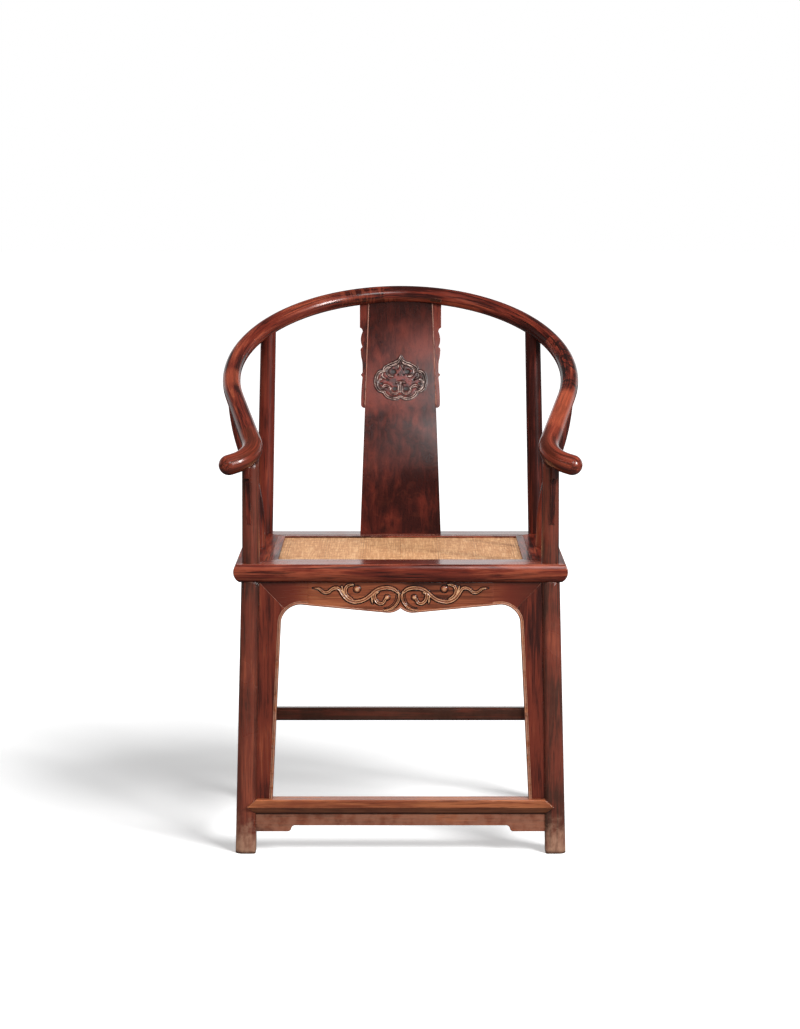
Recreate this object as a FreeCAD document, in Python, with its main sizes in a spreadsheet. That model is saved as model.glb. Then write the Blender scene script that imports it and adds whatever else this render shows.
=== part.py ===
import FreeCAD, Part
import Sketcher
import math
import os
import re
from types import SimpleNamespace

from FreeCAD import Placement, Rotation, Vector

# A horseshoe back armchair in millimetres, of mortised and tenoned hardwood with a woven cane seat.
# X runs to the right as seen from the front, Y from the front to the back and Z upwards.
# The origin is on the floor under the middle of the chair.

doc = FreeCAD.newDocument("horseshoe_back_armchair")

SIZES = [
    # The seat frame
    ("seat_width", 595, "outside width of the seat frame"),
    ("seat_depth", 457, "outside depth of the seat frame"),
    ("seat_height", 525, "top of the seat frame above the floor"),
    ("seat_front_reach", 262, "front edge of the seat before the middle of the chair"),
    ("frame_thickness", 33, "thickness of the frame members"),
    ("front_member_width", 66, "width of the front and back members"),
    ("side_member_width", 71.5, "width of the left and right members"),
    ("edge_round_inset", 5, "how far the rounded top edge starts inside the outline"),
    ("edge_bulge_depth", 14, "depth of the fullest point of the moulded edge below the top"),
    ("edge_bulge_inset", 0.3, "how far the fullest point stays inside the outline"),
    ("edge_tuck", 11, "how far the moulded edge tucks in at its lower side"),
    ("frame_tenon_width", 14, "width of the corner tenons of the seat frame"),
    ("frame_tenon_thickness", 11, "thickness of the corner tenons of the seat frame"),
    ("frame_tenon_gap", 1.2, "wood between the corner tenons and the posts"),
    ("frame_tenon_stop", 12, "wood left beyond the corner tenons"),
    # The woven seat
    ("ledge_width", 8, "width of the ledge that carries the cane, inside each frame member"),
    ("ledge_depth", 7, "depth of that ledge below the top of the frame"),
    ("cane_thickness", 3, "thickness of the woven cane"),
    ("strip_thickness", 3.4, "thickness of the strips over the edge of the cane"),
    ("strip_lip", 6, "how far the strips reach in over the cane beyond the frame"),
    ("brace_width", 26, "width of the braces under the cane"),
    ("brace_height", 17, "height of the braces"),
    ("brace_bow", 6, "how far the braces bow down in the middle"),
    ("brace_spacing", 170, "distance between the two braces"),
    ("brace_clearance", 2, "gap between the ends of the braces and the cane above"),
    ("brace_tenon", 18, "length of the tenons of the braces"),
    ("brace_shoulder", 3, "height of the shoulders above and below those tenons"),
    # The legs and the posts
    ("foot_width", 36.5, "width of a leg at the floor"),
    ("leg_width", 33.5, "width of a leg under the seat frame"),
    ("leg_outer_radius", 14, "radius of the rounded outer corner of a leg"),
    ("leg_edge_radius", 5, "radius of the two side corners of a leg"),
    ("leg_inner_radius", 1.5, "radius of the inner corner of a leg"),
    ("post_diameter", 31.7, "diameter of the posts at the seat"),
    ("front_post_top_diameter", 29.5, "diameter of the front posts at the arms"),
    ("rear_post_top_diameter", 29, "diameter of the rear posts at the crest rail"),
    ("front_post_side_inset", 31, "centre of a front post from the side edge of the seat"),
    ("front_post_inset", 26, "centre of a front post from the front edge of the seat"),
    ("rear_post_side_inset", 36.5, "centre of a rear post from the side edge of the seat"),
    ("rear_post_inset", 31, "centre of a rear post from the back edge of the seat"),
    ("side_splay", 12.5, "how much further out a foot stands than its leg at the seat"),
    ("depth_splay", 6, "how much further forward or back a foot stands than at the seat"),
    ("post_tenon_diameter", 13, "diameter of the tenons on the posts"),
    ("post_tenon_rise", 5, "how far a post's tenon passes the middle of the rail"),
    # The crest rail, which lies in one slanting plane
    ("crest_rise", 452, "middle of the crest rail at its back, above the seat"),
    ("crest_back_reach", 278, "middle of the crest rail at its back, behind the middle of the chair"),
    ("crest_slope_angle", 26.2, "slope of the plane of the crest rail, in degrees"),
    ("crest_radius", 312, "radius of the round back of the crest rail"),
    ("crest_diameter", 32.6, "thickness of the crest rail"),
    ("arm_diameter", 36.4, "thickness of the arms at their hand grips"),
    ("crest_half_angle", 103.5, "half of the angle of the round back, in degrees"),
    ("arm_run", 164, "straight run of an arm"),
    ("grip_radius", 62, "radius of the outward turn of a hand grip"),
    ("grip_turn_angle", 73.5, "turn of a hand grip, in degrees"),
    ("grip_run", 9, "straight end of a hand grip before its round tip"),
    ("shoulder_joint_angle", 76, "middle of the scarf joints at the shoulders, in degrees from the back"),
    ("shoulder_lap", 100, "length of the scarf joints at the shoulders"),
    ("crown_joint_offset", 71.5, "middle of the crown's scarf joint, right of the centre"),
    ("crown_lap", 210, "length of the crown's scarf joint"),
    ("key_width", 23, "width of the keys at the front"),
    ("key_narrow_width", 19, "width of the keys at the back"),
    ("key_height", 8, "height of the keys"),
    ("tongue_length", 10, "length of the tongues at the ends of the scarf joints"),
    ("tongue_width", 10, "width of those tongues"),
    ("tongue_height", 6, "height of those tongues"),
    ("tongue_gap", 4.5, "distance of a tongue from the plane of the lap"),
    # The side posts
    ("side_post_place", 228, "centre of a side post behind the front edge of the seat"),
    ("side_post_side_inset", 36.5, "centre of a side post from the side edge, at the seat"),
    ("side_post_diameter", 21, "diameter of a side post at the seat"),
    ("side_post_top_diameter", 16.5, "diameter of a side post at the arm"),
    ("side_post_straight", 34, "height of the straight foot of a side post"),
    ("side_post_tenon_diameter", 10, "diameter of the tenons on the side posts"),
    ("side_post_tenon", 14, "length of the tenons on the side posts"),
    # The back splat
    ("splat_inset", 29, "middle of the splat from the back edge of the seat"),
    ("splat_width", 154.6, "width of the splat at the seat"),
    ("splat_top_width", 123, "width of the splat at the crest rail"),
    ("splat_thickness", 13, "thickness of the splat"),
    ("splat_lean_angle", 6, "lean of the splat at its two ends, in degrees"),
    ("splat_groove", 9, "how deep the splat enters the crest rail and the seat"),
    ("spandrel_thickness", 8, "thickness of the shaped spandrels beside the splat"),
    ("spandrel_width", 17.5, "how far the spandrels stand out beside the splat at the crest rail"),
    ("spandrel_hollow", 5.3, "depth of the hollows in the edge of a spandrel"),
    ("spandrel_lobe_inset", 1.8, "how far the lobes and the barb stay inside the top corner"),
    ("spandrel_step_drop", 48, "length of the straight top of a spandrel"),
    ("spandrel_cove", 8, "height of the cove under that straight top"),
    ("spandrel_notch_drop", 85, "notch between the two upper lobes, below the crest rail"),
    ("spandrel_ogee_drop", 122, "end of the second lobe, below the crest rail"),
    ("spandrel_barb_drop", 138, "point of the small barb, below the crest rail"),
    ("spandrel_barb", 4.6, "half of the height of the barb"),
    ("spandrel_length", 200, "length of a spandrel below the crest rail"),
    ("spandrel_end_radius", 6, "height of the round lower end of a spandrel"),
    # The apron with its side strips, in front and at the sides
    ("apron_setback", 3, "how far the aprons stand behind the face of the legs"),
    ("apron_thickness", 14, "thickness of the aprons"),
    ("apron_depth", 40.5, "depth of the apron beside its corners"),
    ("apron_lobe_depth", 55, "depth of the apron at its two middle lobes"),
    ("apron_notch_rise", 8, "rise of the notch between the two lobes"),
    ("apron_lobe_width", 25, "half of the width over the two lobes"),
    ("apron_corner_radius", 36, "radius of the corners of the opening"),
    ("strip_width", 37, "width of the side strips under their corner"),
    ("strip_foot_width", 28.8, "width of the side strips at their foot"),
    ("panel_groove", 5, "how deep the aprons and strips enter the legs"),
    ("panel_tongue", 4, "how deep the aprons and strips enter the seat frame and the stretchers"),
    ("rear_apron_depth", 38, "depth of the rear apron"),
    ("rear_apron_head", 26, "how far the heads of the rear apron reach down further"),
    ("rear_apron_head_width", 46, "width of those heads"),
    # The footrest and the stretchers
    ("footrest_height", 100, "top of the footrest above the floor"),
    ("footrest_depth", 32, "depth of the footrest"),
    ("footrest_face", 14, "height of the front face of the footrest"),
    ("footrest_under", 13, "height of the slant under the front face"),
    ("footrest_under_inset", 11, "how far that slant goes back"),
    ("footrest_round", 2.5, "radius of the upper front edge of the footrest"),
    ("footrest_overhang", 9, "how far the footrest stands before the legs"),
    ("footrest_point", 16, "how far the pointed shoulders wrap round the legs"),
    ("footrest_apron_depth", 22, "depth of the apron under the footrest"),
    ("footrest_apron_head", 11, "how far its heads reach down further"),
    ("footrest_apron_head_width", 57, "length of those heads"),
    ("footrest_apron_step_width", 13, "width of the curved step of those heads"),
    ("footrest_apron_setback", 13, "how far that apron stands behind the face of the footrest"),
    ("footrest_apron_thickness", 11, "thickness of that apron"),
    ("stretcher_depth", 22, "thickness of the side and rear stretchers"),
    ("stretcher_height", 25, "height of the side and rear stretchers"),
    ("stretcher_round", 5, "radius of the edges of the stretchers"),
    ("side_stretcher_height", 137, "top of the side stretchers above the floor"),
    ("rear_stretcher_height", 184, "top of the rear stretcher above the floor"),
    ("stretcher_housing", 2, "how deep a whole stretcher enters a leg"),
    ("stretcher_tenon", 18, "length of the tenons of the stretchers"),
    ("stretcher_tenon_thickness", 8, "thickness of the tenons of the stretchers"),
    ("stretcher_tenon_height", 15, "height of the tenons of the stretchers"),
    # The spandrels under the hand grips
    ("bracket_toe", 0.8, "how far the lower end of a hand grip's spandrel stands out from its post"),
    ("bracket_thickness", 9, "thickness of that spandrel"),
    ("bracket_turn_angle", 10, "turn of that spandrel outwards, in degrees"),
    # Shared
    ("overrun", 60, "how far cutting shapes reach beyond what they cut"),
]

sheet = doc.addObject("Spreadsheet::Sheet", "Sizes")
for row, (alias, value, meaning) in enumerate(SIZES, start=1):
    sheet.set("A%d" % row, alias)
    sheet.set("B%d" % row, str(value))
    sheet.set("C%d" % row, meaning)
    sheet.setAlias("B%d" % row, alias)
doc.recompute()

size = SimpleNamespace(**{alias: float(sheet.get(alias)) for alias, value, meaning in SIZES})
ALIASES = {alias for alias, value, meaning in SIZES}
CIRCLE_SHARE = math.sqrt(0.5)
X_AXIS, Z_AXIS = Vector(1, 0, 0), Vector(0, 0, 1)


def in_sheet(formula):
    """The formula with each size's name pointing at its cell."""
    def cell(word):
        return "Sizes." + word[0] if word[0] in ALIASES else word[0]

    return re.sub(r"[a-z_]+", cell, formula)


def bind(thing, **formulas):
    """Binds properties of a document object to the spreadsheet."""
    for name, formula in formulas.items():
        thing.setExpression(name, in_sheet(formula))
    return thing


# Places that many pieces share

SEAT_FRONT = -size.seat_front_reach
SEAT_BACK = SEAT_FRONT + size.seat_depth
SEAT_SIDE = size.seat_width / 2
SEAT_UNDER = size.seat_height - size.frame_thickness
CREST_HEIGHT = size.seat_height + size.crest_rise
FRONT_POST = Vector(SEAT_SIDE - size.front_post_side_inset, SEAT_FRONT + size.front_post_inset, 0)
REAR_POST = Vector(SEAT_SIDE - size.rear_post_side_inset, SEAT_BACK - size.rear_post_inset, 0)
SIDE_LEAN = math.degrees(math.atan(size.side_splay / size.seat_height))
DEPTH_LEAN = math.degrees(math.atan(size.depth_splay / size.seat_height))


# Small tools for bodies and sketches


def new_body(name):
    return doc.addObject("PartDesign::Body", name)


def new_sketch(body, role, name, offset=None):
    """A sketch on one of the body's own origin planes."""
    plane = [feature for feature in body.Origin.OriginFeatures if feature.Role == role][0]
    sketch = body.newObject("Sketcher::SketchObject", name)
    sketch.AttachmentSupport = [(plane, "")]
    sketch.MapMode = "FlatFace"
    if offset:
        sketch.AttachmentOffset = offset
    return sketch


CLOSED = 1e-7


def draw(sketch, start, *steps):
    """Draws a closed outline. A step is the next point, or a middle point and an end point for an arc."""
    first = here = Vector(*start, 0)
    for step in steps:
        if isinstance(step[0], tuple):
            middle, there = Vector(*step[0], 0), Vector(*step[1], 0)
            sketch.addGeometry(Part.Arc(here, middle, there), False)
        else:
            there = Vector(*step, 0)
            sketch.addGeometry(Part.LineSegment(here, there), False)
        here = there
    if not here.isEqual(first, CLOSED):
        sketch.addGeometry(Part.LineSegment(here, first), False)
    return sketch


def draw_circle(sketch, diameter_formula):
    """A circle round the sketch's origin, its diameter bound to the spreadsheet."""
    sketch.addGeometry(Part.Circle(Vector(0, 0, 0), Vector(0, 0, 1), 1), False)
    sketch.addConstraint(Sketcher.Constraint("Coincident", 0, 3, -1, 1))
    number = sketch.addConstraint(Sketcher.Constraint("Diameter", 0, 2))
    sketch.renameConstraint(number, "diameter")
    sketch.setExpression("Constraints.diameter", in_sheet(diameter_formula))
    return sketch


def ogee(start, end):
    """The steps of two arcs that leave the start level and arrive at the end level."""
    run, rise = (end[0] - start[0]) / 2, (end[1] - start[1]) / 2
    turn = 2 * math.atan(abs(rise / run))
    radius = abs(run) / math.sin(turn)
    part_run = math.copysign(radius * math.sin(turn / 2), run)
    part_rise = math.copysign(radius * (1 - math.cos(turn / 2)), rise)
    first_middle = (start[0] + part_run, start[1] + part_rise)
    second_middle = (end[0] - part_run, end[1] - part_rise)
    return [(first_middle, (start[0] + run, start[1] + rise)), (second_middle, end)]


def rounded_corner(corner, into, out_of, radius):
    """The steps round a square corner. The two directions are those of travel before and after it."""
    enter = (corner[0] - into[0] * radius, corner[1] - into[1] * radius)
    leave = (corner[0] + out_of[0] * radius, corner[1] + out_of[1] * radius)
    short = radius * (1 - CIRCLE_SHARE)
    middle = (corner[0] + (out_of[0] - into[0]) * short, corner[1] + (out_of[1] - into[1]) * short)
    return [enter, (middle, leave)]


def rounded_rectangle(half_width, half_height, near_left, near_right, far_right, far_left):
    """The outline of a rectangle whose corners have the radii given."""
    right, up, left, down = (1, 0), (0, 1), (-1, 0), (0, -1)
    steps = rounded_corner((-half_width, -half_height), down, right, near_left)
    steps += rounded_corner((half_width, -half_height), right, up, near_right)
    steps += rounded_corner((half_width, half_height), up, left, far_right)
    steps += rounded_corner((-half_width, half_height), left, down, far_left)
    return steps


def pad(body, sketch, length, backwards=False):
    """Pads a sketch to a formula of the spreadsheet, or to a length worked out here."""
    feature = body.newObject("PartDesign::Pad", body.Name + "_pad")
    feature.Profile = sketch
    feature.Reversed = backwards
    if isinstance(length, str):
        return bind(feature, Length=length)
    feature.Length = length
    return feature


def loft(body, name, lower, upper):
    feature = body.newObject("PartDesign::AdditiveLoft", name)
    feature.Profile = lower
    feature.Sections = [upper]
    feature.Ruled = True
    return feature


def prism(name, role, outline, length, place=None):
    """A body padded from one outline: along X from YZ_Plane, along Y from XZ_Plane, up from XY_Plane."""
    body = new_body(name)
    sketch = draw(new_sketch(body, role, name + "_outline"), *outline)
    pad(body, sketch, length, backwards=role == "XZ_Plane")
    body.Placement = place or Placement()
    return body


def primitive(kind, name, place, **formulas):
    thing = doc.addObject("Part::" + kind, name)
    bind(thing, **formulas)
    thing.Placement = place
    return thing


def move(x, y, z):
    return Placement(Vector(x, y, z), Rotation())


def turned(axis, angle):
    return Placement(Vector(0, 0, 0), Rotation(axis, angle))


def cut(base, *tools):
    for tool in tools:
        result = doc.addObject("Part::Cut", "Cut")
        result.Base, result.Tool = base, tool
        base = result
    return base


def fuse(*shapes):
    result = doc.addObject("Part::MultiFuse", "Fusion")
    result.Shapes = list(shapes)
    return result


def common(first, second):
    result = doc.addObject("Part::MultiCommon", "Common")
    result.Shapes = [first, second]
    return result


def mirror(source):
    """The same thing on the other side of the chair."""
    result = doc.addObject("Part::Mirroring", "Mirror")
    result.Source, result.Base, result.Normal = source, Vector(0, 0, 0), X_AXIS
    return result


nodes = {}


def node(name, thing):
    """Names a finished piece, as in its file."""
    thing.Label = name
    nodes[name] = thing
    return thing


def pair(name, right):
    """A finished piece on the right and its mirror image on the left."""
    node(name + "_right", right)
    node(name + "_left", mirror(right))


# The crest rail lies in one slanting plane. Angles along it run from the middle of the back to the right.

SLOPE = math.radians(size.crest_slope_angle)
RAIL_PLANE = Placement(Vector(0, size.crest_back_reach, CREST_HEIGHT),
                       Rotation(X_AXIS, size.crest_slope_angle))
RAIL_UNDER = CREST_HEIGHT - size.crest_diameter / 2


def on_ring(angle):
    """The place on the round back at an angle: local X runs along the rail and local Y outwards."""
    radians = math.radians(angle)
    spot = Vector(math.sin(radians), math.cos(radians) - 1, 0) * size.crest_radius
    return RAIL_PLANE.multiply(Placement(spot, Rotation(Z_AXIS, -angle)))


def ring_angle_at(y):
    """The angle at which the round back stands over a line y of the floor."""
    down_slope = (size.crest_back_reach - y) / math.cos(SLOPE)
    return math.degrees(math.acos(1 - down_slope / size.crest_radius))


def sector_place(to_angle, level):
    centre = Vector(0, -size.crest_radius, level)
    return RAIL_PLANE.multiply(Placement(centre, Rotation(Z_AXIS, 90 - to_angle)))


def ring(name, from_angle, to_angle):
    """A stretch of the round back of the rail."""
    thing = primitive("Torus", name, sector_place(to_angle, 0), Radius1="crest_radius",
                      Radius2="crest_diameter / 2")
    thing.Angle3 = to_angle - from_angle
    return thing


def lap(name, from_angle, to_angle, upper):
    """The space above or below the middle plane of the rail, over the length of a scarf joint."""
    level = 0 if upper else -size.overrun
    thing = primitive("Cylinder", name, sector_place(to_angle, level), Radius="crest_radius + overrun",
                      Height="overrun")
    thing.Angle = to_angle - from_angle
    return thing


def tongue(name, angle, forward, upper):
    """The small tongue at one end of a scarf joint, on the upper or the lower half."""
    along = 0 if forward else -size.tongue_length
    level = size.tongue_gap if upper else -size.tongue_gap - size.tongue_height
    place = on_ring(angle).multiply(move(along, -size.tongue_width / 2, level))
    return primitive("Box", name, place, Length="tongue_length", Width="tongue_width",
                     Height="tongue_height")


def key_wedge(name, angle):
    """The tapered key that is driven through a scarf joint from the inside of the rail."""
    return primitive("Wedge", name, on_ring(angle), Xmin="-key_width / 2", Xmax="key_width / 2",
                     X2min="-key_narrow_width / 2", X2max="key_narrow_width / 2",
                     Ymin="-crest_diameter", Ymax="crest_diameter",
                     Zmin="-key_height / 2", Zmax="key_height / 2",
                     Z2min="-key_height / 2", Z2max="key_height / 2")


def joint_ends(middle, length):
    half = math.degrees(length / 2 / size.crest_radius)
    return middle - half, middle + half


SHOULDER_START, SHOULDER_END = joint_ends(size.shoulder_joint_angle, size.shoulder_lap)
CROWN_MIDDLE = math.degrees(math.asin(size.crown_joint_offset / size.crest_radius))
CROWN_START, CROWN_END = joint_ends(CROWN_MIDDLE, size.crown_lap)


def arm_blank(name):
    """The right arm before its joints: the end of the round back, a straight run and the hand grip."""
    sweep = math.radians(size.crest_half_angle)
    run_start = Vector(math.sin(sweep), math.cos(sweep) - 1, 0) * size.crest_radius
    along = Vector(math.cos(sweep), -math.sin(sweep), 0)
    run_end = run_start + along * size.arm_run
    turn_centre = run_end + Vector(-along.y, along.x, 0) * size.grip_radius
    start_angle = math.degrees(math.atan2(run_end.y - turn_centre.y, run_end.x - turn_centre.x))
    end = math.radians(start_angle + size.grip_turn_angle)
    grip_end = turn_centre + Vector(math.cos(end), math.sin(end), 0) * size.grip_radius
    out = Vector(-math.sin(end), math.cos(end), 0)

    def in_plane(spot, rotation):
        return RAIL_PLANE.multiply(Placement(spot, rotation))

    back = ring(name + "_back", SHOULDER_START, size.crest_half_angle)
    run = primitive("Cone", name + "_run", in_plane(run_start, Rotation(Z_AXIS, along)),
                    Radius1="crest_diameter / 2", Radius2="arm_diameter / 2", Height="arm_run")
    turn = primitive("Torus", name + "_turn", in_plane(turn_centre, Rotation(Z_AXIS, start_angle)),
                     Radius1="grip_radius", Radius2="arm_diameter / 2", Angle3="grip_turn_angle")
    grip = primitive("Cylinder", name + "_grip", in_plane(grip_end, Rotation(Z_AXIS, out)),
                     Radius="arm_diameter / 2", Height="grip_run")
    tip = primitive("Sphere", name + "_tip", in_plane(grip_end + out * size.grip_run, Rotation(Z_AXIS, out)),
                    Radius="arm_diameter / 2")
    return fuse(back, run, turn, grip, tip)


# The blanks of the rail and the legs. Pairs are made on the right and mirrored to the left.

FRONT_TOP = Vector(FRONT_POST.x, FRONT_POST.y,
                   CREST_HEIGHT - (size.crest_back_reach - FRONT_POST.y) * math.tan(SLOPE))
REAR_TOP = on_ring(ring_angle_at(REAR_POST.y)).Base


def leg_width_at(level):
    return size.foot_width + (size.leg_width - size.foot_width) * level / SEAT_UNDER


def splay_share(level):
    return (size.seat_height - level) / size.seat_height


def leg_blank(name, post, top, front, top_diameter):
    """A leg, square with a round outer corner, that goes on as a round post above the frame's underside."""
    body = new_body(name)
    depth_sign = -1 if front else 1

    def station(level):
        share = splay_share(level)
        return move(post.x + size.side_splay * share, post.y + depth_sign * size.depth_splay * share, level)

    def section(word, place):
        return new_sketch(body, "XY_Plane", "%s_%s" % (name, word), place)

    edge, inner, outer = size.leg_edge_radius, size.leg_inner_radius, size.leg_outer_radius
    radii = (edge, outer, edge, inner) if front else (inner, edge, outer, edge)
    squares = []
    for word, level in (("foot", 0), ("shoulder", SEAT_UNDER)):
        half = leg_width_at(level) / 2
        squares.append(draw(section(word, station(level)), *rounded_rectangle(half, half, *radii)))
    loft(body, name + "_leg", *squares)
    neck = draw_circle(section("neck", station(SEAT_UNDER)), "post_diameter")
    base = draw_circle(section("base", station(size.seat_height)), "post_diameter")
    loft(body, name + "_neck", neck, base)
    post_foot = draw_circle(section("post_foot", station(size.seat_height)), "post_diameter")
    post_top = draw_circle(section("post_top", Placement(top, Rotation())), top_diameter)
    loft(body, name + "_post", post_foot, post_top)
    return body


def post_tenon(name, top):
    place = move(top.x, top.y, top.z - size.arm_diameter)
    return primitive("Cylinder", name, place, Radius="post_tenon_diameter / 2",
                     Height="arm_diameter + post_tenon_rise")


front_leg_blank = leg_blank("front_leg_blank", FRONT_POST, FRONT_TOP, True, "front_post_top_diameter")
rear_leg_blank = leg_blank("rear_leg_blank", REAR_POST, REAR_TOP, False, "rear_post_top_diameter")
front_tenon = post_tenon("front_post_tenon", FRONT_TOP)
rear_tenon = post_tenon("rear_post_tenon", REAR_TOP)
arm_right_blank = arm_blank("arm_blank")
crown_blank = ring("crown_blank", -SHOULDER_END, SHOULDER_END)


# The side posts

SIDE_POST_Y = SEAT_FRONT + size.side_post_place
SIDE_POST_X = SEAT_SIDE - size.side_post_side_inset
SIDE_POST_TOP = on_ring(ring_angle_at(SIDE_POST_Y)).Base


def side_post_blank(name):
    """A sabre-shaped post that swings outwards: a straight foot and two arcs, tapering upwards."""
    body = new_body(name)
    straight = size.side_post_straight
    rise = (SIDE_POST_TOP.z - size.seat_height - straight) / 2
    run = (SIDE_POST_TOP.x - SIDE_POST_X) / 2
    turn = 2 * math.atan(run / rise)
    radius = rise / math.sin(turn)
    part = Vector(radius * (1 - math.cos(turn / 2)), radius * math.sin(turn / 2), 0)
    bend, middle = Vector(0, straight, 0), Vector(run, straight + rise, 0)
    end = middle * 2 - bend
    path = new_sketch(body, "XZ_Plane", name + "_path")
    path.addGeometry(Part.LineSegment(Vector(0, 0, 0), bend), False)
    path.addGeometry(Part.Arc(bend, bend + part, middle), False)
    path.addGeometry(Part.Arc(middle, end - part, end), False)
    foot = draw_circle(new_sketch(body, "XY_Plane", name + "_foot"), "side_post_diameter")
    head_place = move(end.x, 0, end.y)
    head = draw_circle(new_sketch(body, "XY_Plane", name + "_head", head_place), "side_post_top_diameter")
    pipe = body.newObject("PartDesign::AdditivePipe", name + "_pipe")
    pipe.Profile, pipe.Spine = foot, path
    pipe.Transformation = "Multisection"
    pipe.Sections = [head]
    body.Placement = move(SIDE_POST_X, SIDE_POST_Y, size.seat_height)
    return body


side_post_top_tenon = primitive(
    "Cylinder", "side_post_top_tenon",
    move(SIDE_POST_TOP.x, SIDE_POST_TOP.y, SIDE_POST_TOP.z - size.crest_diameter),
    Radius="side_post_tenon_diameter / 2", Height="crest_diameter + post_tenon_rise")
side_post_foot_tenon = primitive(
    "Cylinder", "side_post_foot_tenon",
    move(SIDE_POST_X, SIDE_POST_Y, size.seat_height - size.side_post_tenon),
    Radius="side_post_tenon_diameter / 2", Height="side_post_tenon * 2")
side_post = cut(side_post_blank("side_post_blank"), arm_right_blank)
pair("side_post", fuse(side_post, side_post_top_tenon, side_post_foot_tenon))


# The back splat and the shaped spandrels beside it

SPLAT_Y = SEAT_BACK - size.splat_inset


def splat_half_width(level):
    share = (level - size.seat_height) / (RAIL_UNDER - size.seat_height)
    return (size.splat_width + (size.splat_top_width - size.splat_width) * share) / 2


def bent_board(name, thickness):
    """A board as wide as the seat, bent in a long S from the seat to the middle of the crest rail."""
    foot = Vector(SPLAT_Y, size.seat_height, 0)
    top = Vector(size.crest_back_reach, CREST_HEIGHT, 0)
    chord = top - foot
    chord_lean = math.atan2(chord.x, chord.y)
    end_lean = math.radians(size.splat_lean_angle)
    swing = chord_lean - end_lean
    bow = Vector(math.cos(chord_lean), -math.sin(chord_lean), 0) * (chord.Length / 4 * math.tan(swing / 2))
    start = foot - Vector(math.sin(end_lean), math.cos(end_lean), 0) * size.splat_groove
    stations = [(start, end_lean), (foot, end_lean), (foot + chord / 4 - bow, chord_lean),
                (foot + chord / 2, chord_lean + swing), (foot + chord * 3 / 4 + bow, chord_lean),
                (top, end_lean)]

    def beside(offset):
        return [(spot.x + offset * math.cos(lean), spot.y - offset * math.sin(lean))
                for spot, lean in stations]

    near, far = beside(-thickness / 2), beside(thickness / 2)
    outline = [near[0], far[0], far[1], (far[2], far[3]), (far[4], far[5]), near[5], (near[4], near[3]),
               (near[2], near[1])]
    return prism(name, "YZ_Plane", outline, "seat_width", move(-SEAT_SIDE, 0, 0))


foot_half, top_half = splat_half_width(size.seat_height), splat_half_width(CREST_HEIGHT)
splat_prism = prism("splat_prism", "XZ_Plane",
                    [(-foot_half, size.seat_height), (foot_half, size.seat_height),
                     (top_half, CREST_HEIGHT), (-top_half, CREST_HEIGHT)], "seat_depth")
TONGUE_SHARE = 0.9
splat_top_tongue = primitive(
    "Box", "splat_top_tongue",
    move(-size.splat_top_width * TONGUE_SHARE / 2, size.crest_back_reach - size.spandrel_thickness / 2,
         RAIL_UNDER - size.splat_groove),
    Length="splat_top_width * %s" % TONGUE_SHARE, Width="spandrel_thickness", Height="splat_groove * 2")
splat_foot_tongue = primitive(
    "Box", "splat_foot_tongue",
    move(-size.splat_width * TONGUE_SHARE / 2, SPLAT_Y - size.spandrel_thickness / 2,
         size.seat_height - size.splat_groove),
    Length="splat_width * %s" % TONGUE_SHARE, Width="spandrel_thickness", Height="splat_groove * 2")
splat_board = cut(common(bent_board("splat_blank", size.splat_thickness), splat_prism), crown_blank)
node("back_splat", fuse(splat_board, splat_top_tongue, splat_foot_tongue))

# Where the second lobe is fullest between its notch and its ogee, where the barb's sides bend, and where the
# belly of the long lower lobe lies between the barb and the foot
LOBE_SHARE, BARB_SHARE, BELLY_SHARE = 0.225, 0.45, 0.72


def splat_spandrel_outline():
    """The right spandrel, from above: a straight edge, a cove, two lobes, a small barb and a long belly."""
    foot, top = RAIL_UNDER - size.spandrel_length, CREST_HEIGHT
    rim = splat_half_width(RAIL_UNDER) + size.spandrel_width
    full, hollow = rim - size.spandrel_lobe_inset, rim - size.spandrel_hollow
    step, notch, ogee_end, barb = (RAIL_UNDER - drop for drop in (
        size.spandrel_step_drop, size.spandrel_notch_drop, size.spandrel_ogee_drop, size.spandrel_barb_drop))
    cove = step - size.spandrel_cove
    lobe = notch - (notch - ogee_end) * LOBE_SHARE
    belly = barb + (foot - barb) * BELLY_SHARE
    corner_cut = size.spandrel_end_radius * (1 - CIRCLE_SHARE)
    low_rim = full - size.spandrel_lobe_inset / 2
    between = ((full + hollow) / 2, (lobe + ogee_end) / 2)
    cove_middle = (rim - size.spandrel_hollow * CIRCLE_SHARE, step - size.spandrel_cove * (1 - CIRCLE_SHARE))

    def barb_side(sign):
        return (hollow + size.spandrel_hollow * (1 - CIRCLE_SHARE), barb + sign * size.spandrel_barb * BARB_SHARE)

    return [(splat_half_width(top), top), (splat_half_width(foot), foot),
            ((low_rim - corner_cut, foot + corner_cut), (low_rim, foot + size.spandrel_end_radius)),
            ((low_rim, belly), (hollow, barb - size.spandrel_barb)), (barb_side(-1), (full, barb)),
            (barb_side(1), (hollow, barb + size.spandrel_barb)), (hollow, ogee_end),
            ((hollow + (full - hollow) / 8, (between[1] + ogee_end) / 2), between),
            ((full - (full - hollow) / 8, (between[1] + lobe) / 2), (full, lobe)),
            ((full - (full - hollow) / 4, (lobe + notch) / 2 + (notch - lobe) / 4), (hollow, notch)),
            ((full, (cove + notch) / 2), (hollow, cove)), (cove_middle, (rim, step)), (rim, top)]


spandrel_prism = prism("spandrel_prism", "XZ_Plane", splat_spandrel_outline(), "seat_depth")
spandrel_board = common(bent_board("spandrel_blank", size.spandrel_thickness), spandrel_prism)
pair("splat_spandrel", cut(spandrel_board, crown_blank))


# The spandrels under the hand grips follow the free height of the front post. The reach is a share of that
# height, and the levels are shares of the height from the underside of the grip there to the seat.
REACH_SHARE, WAIST_REACH_SHARE = 0.102, 0.042
LIP_SHARE, WAIST_SHARE, TOE_SHARE = 0.049, 0.16, 0.57


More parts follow.
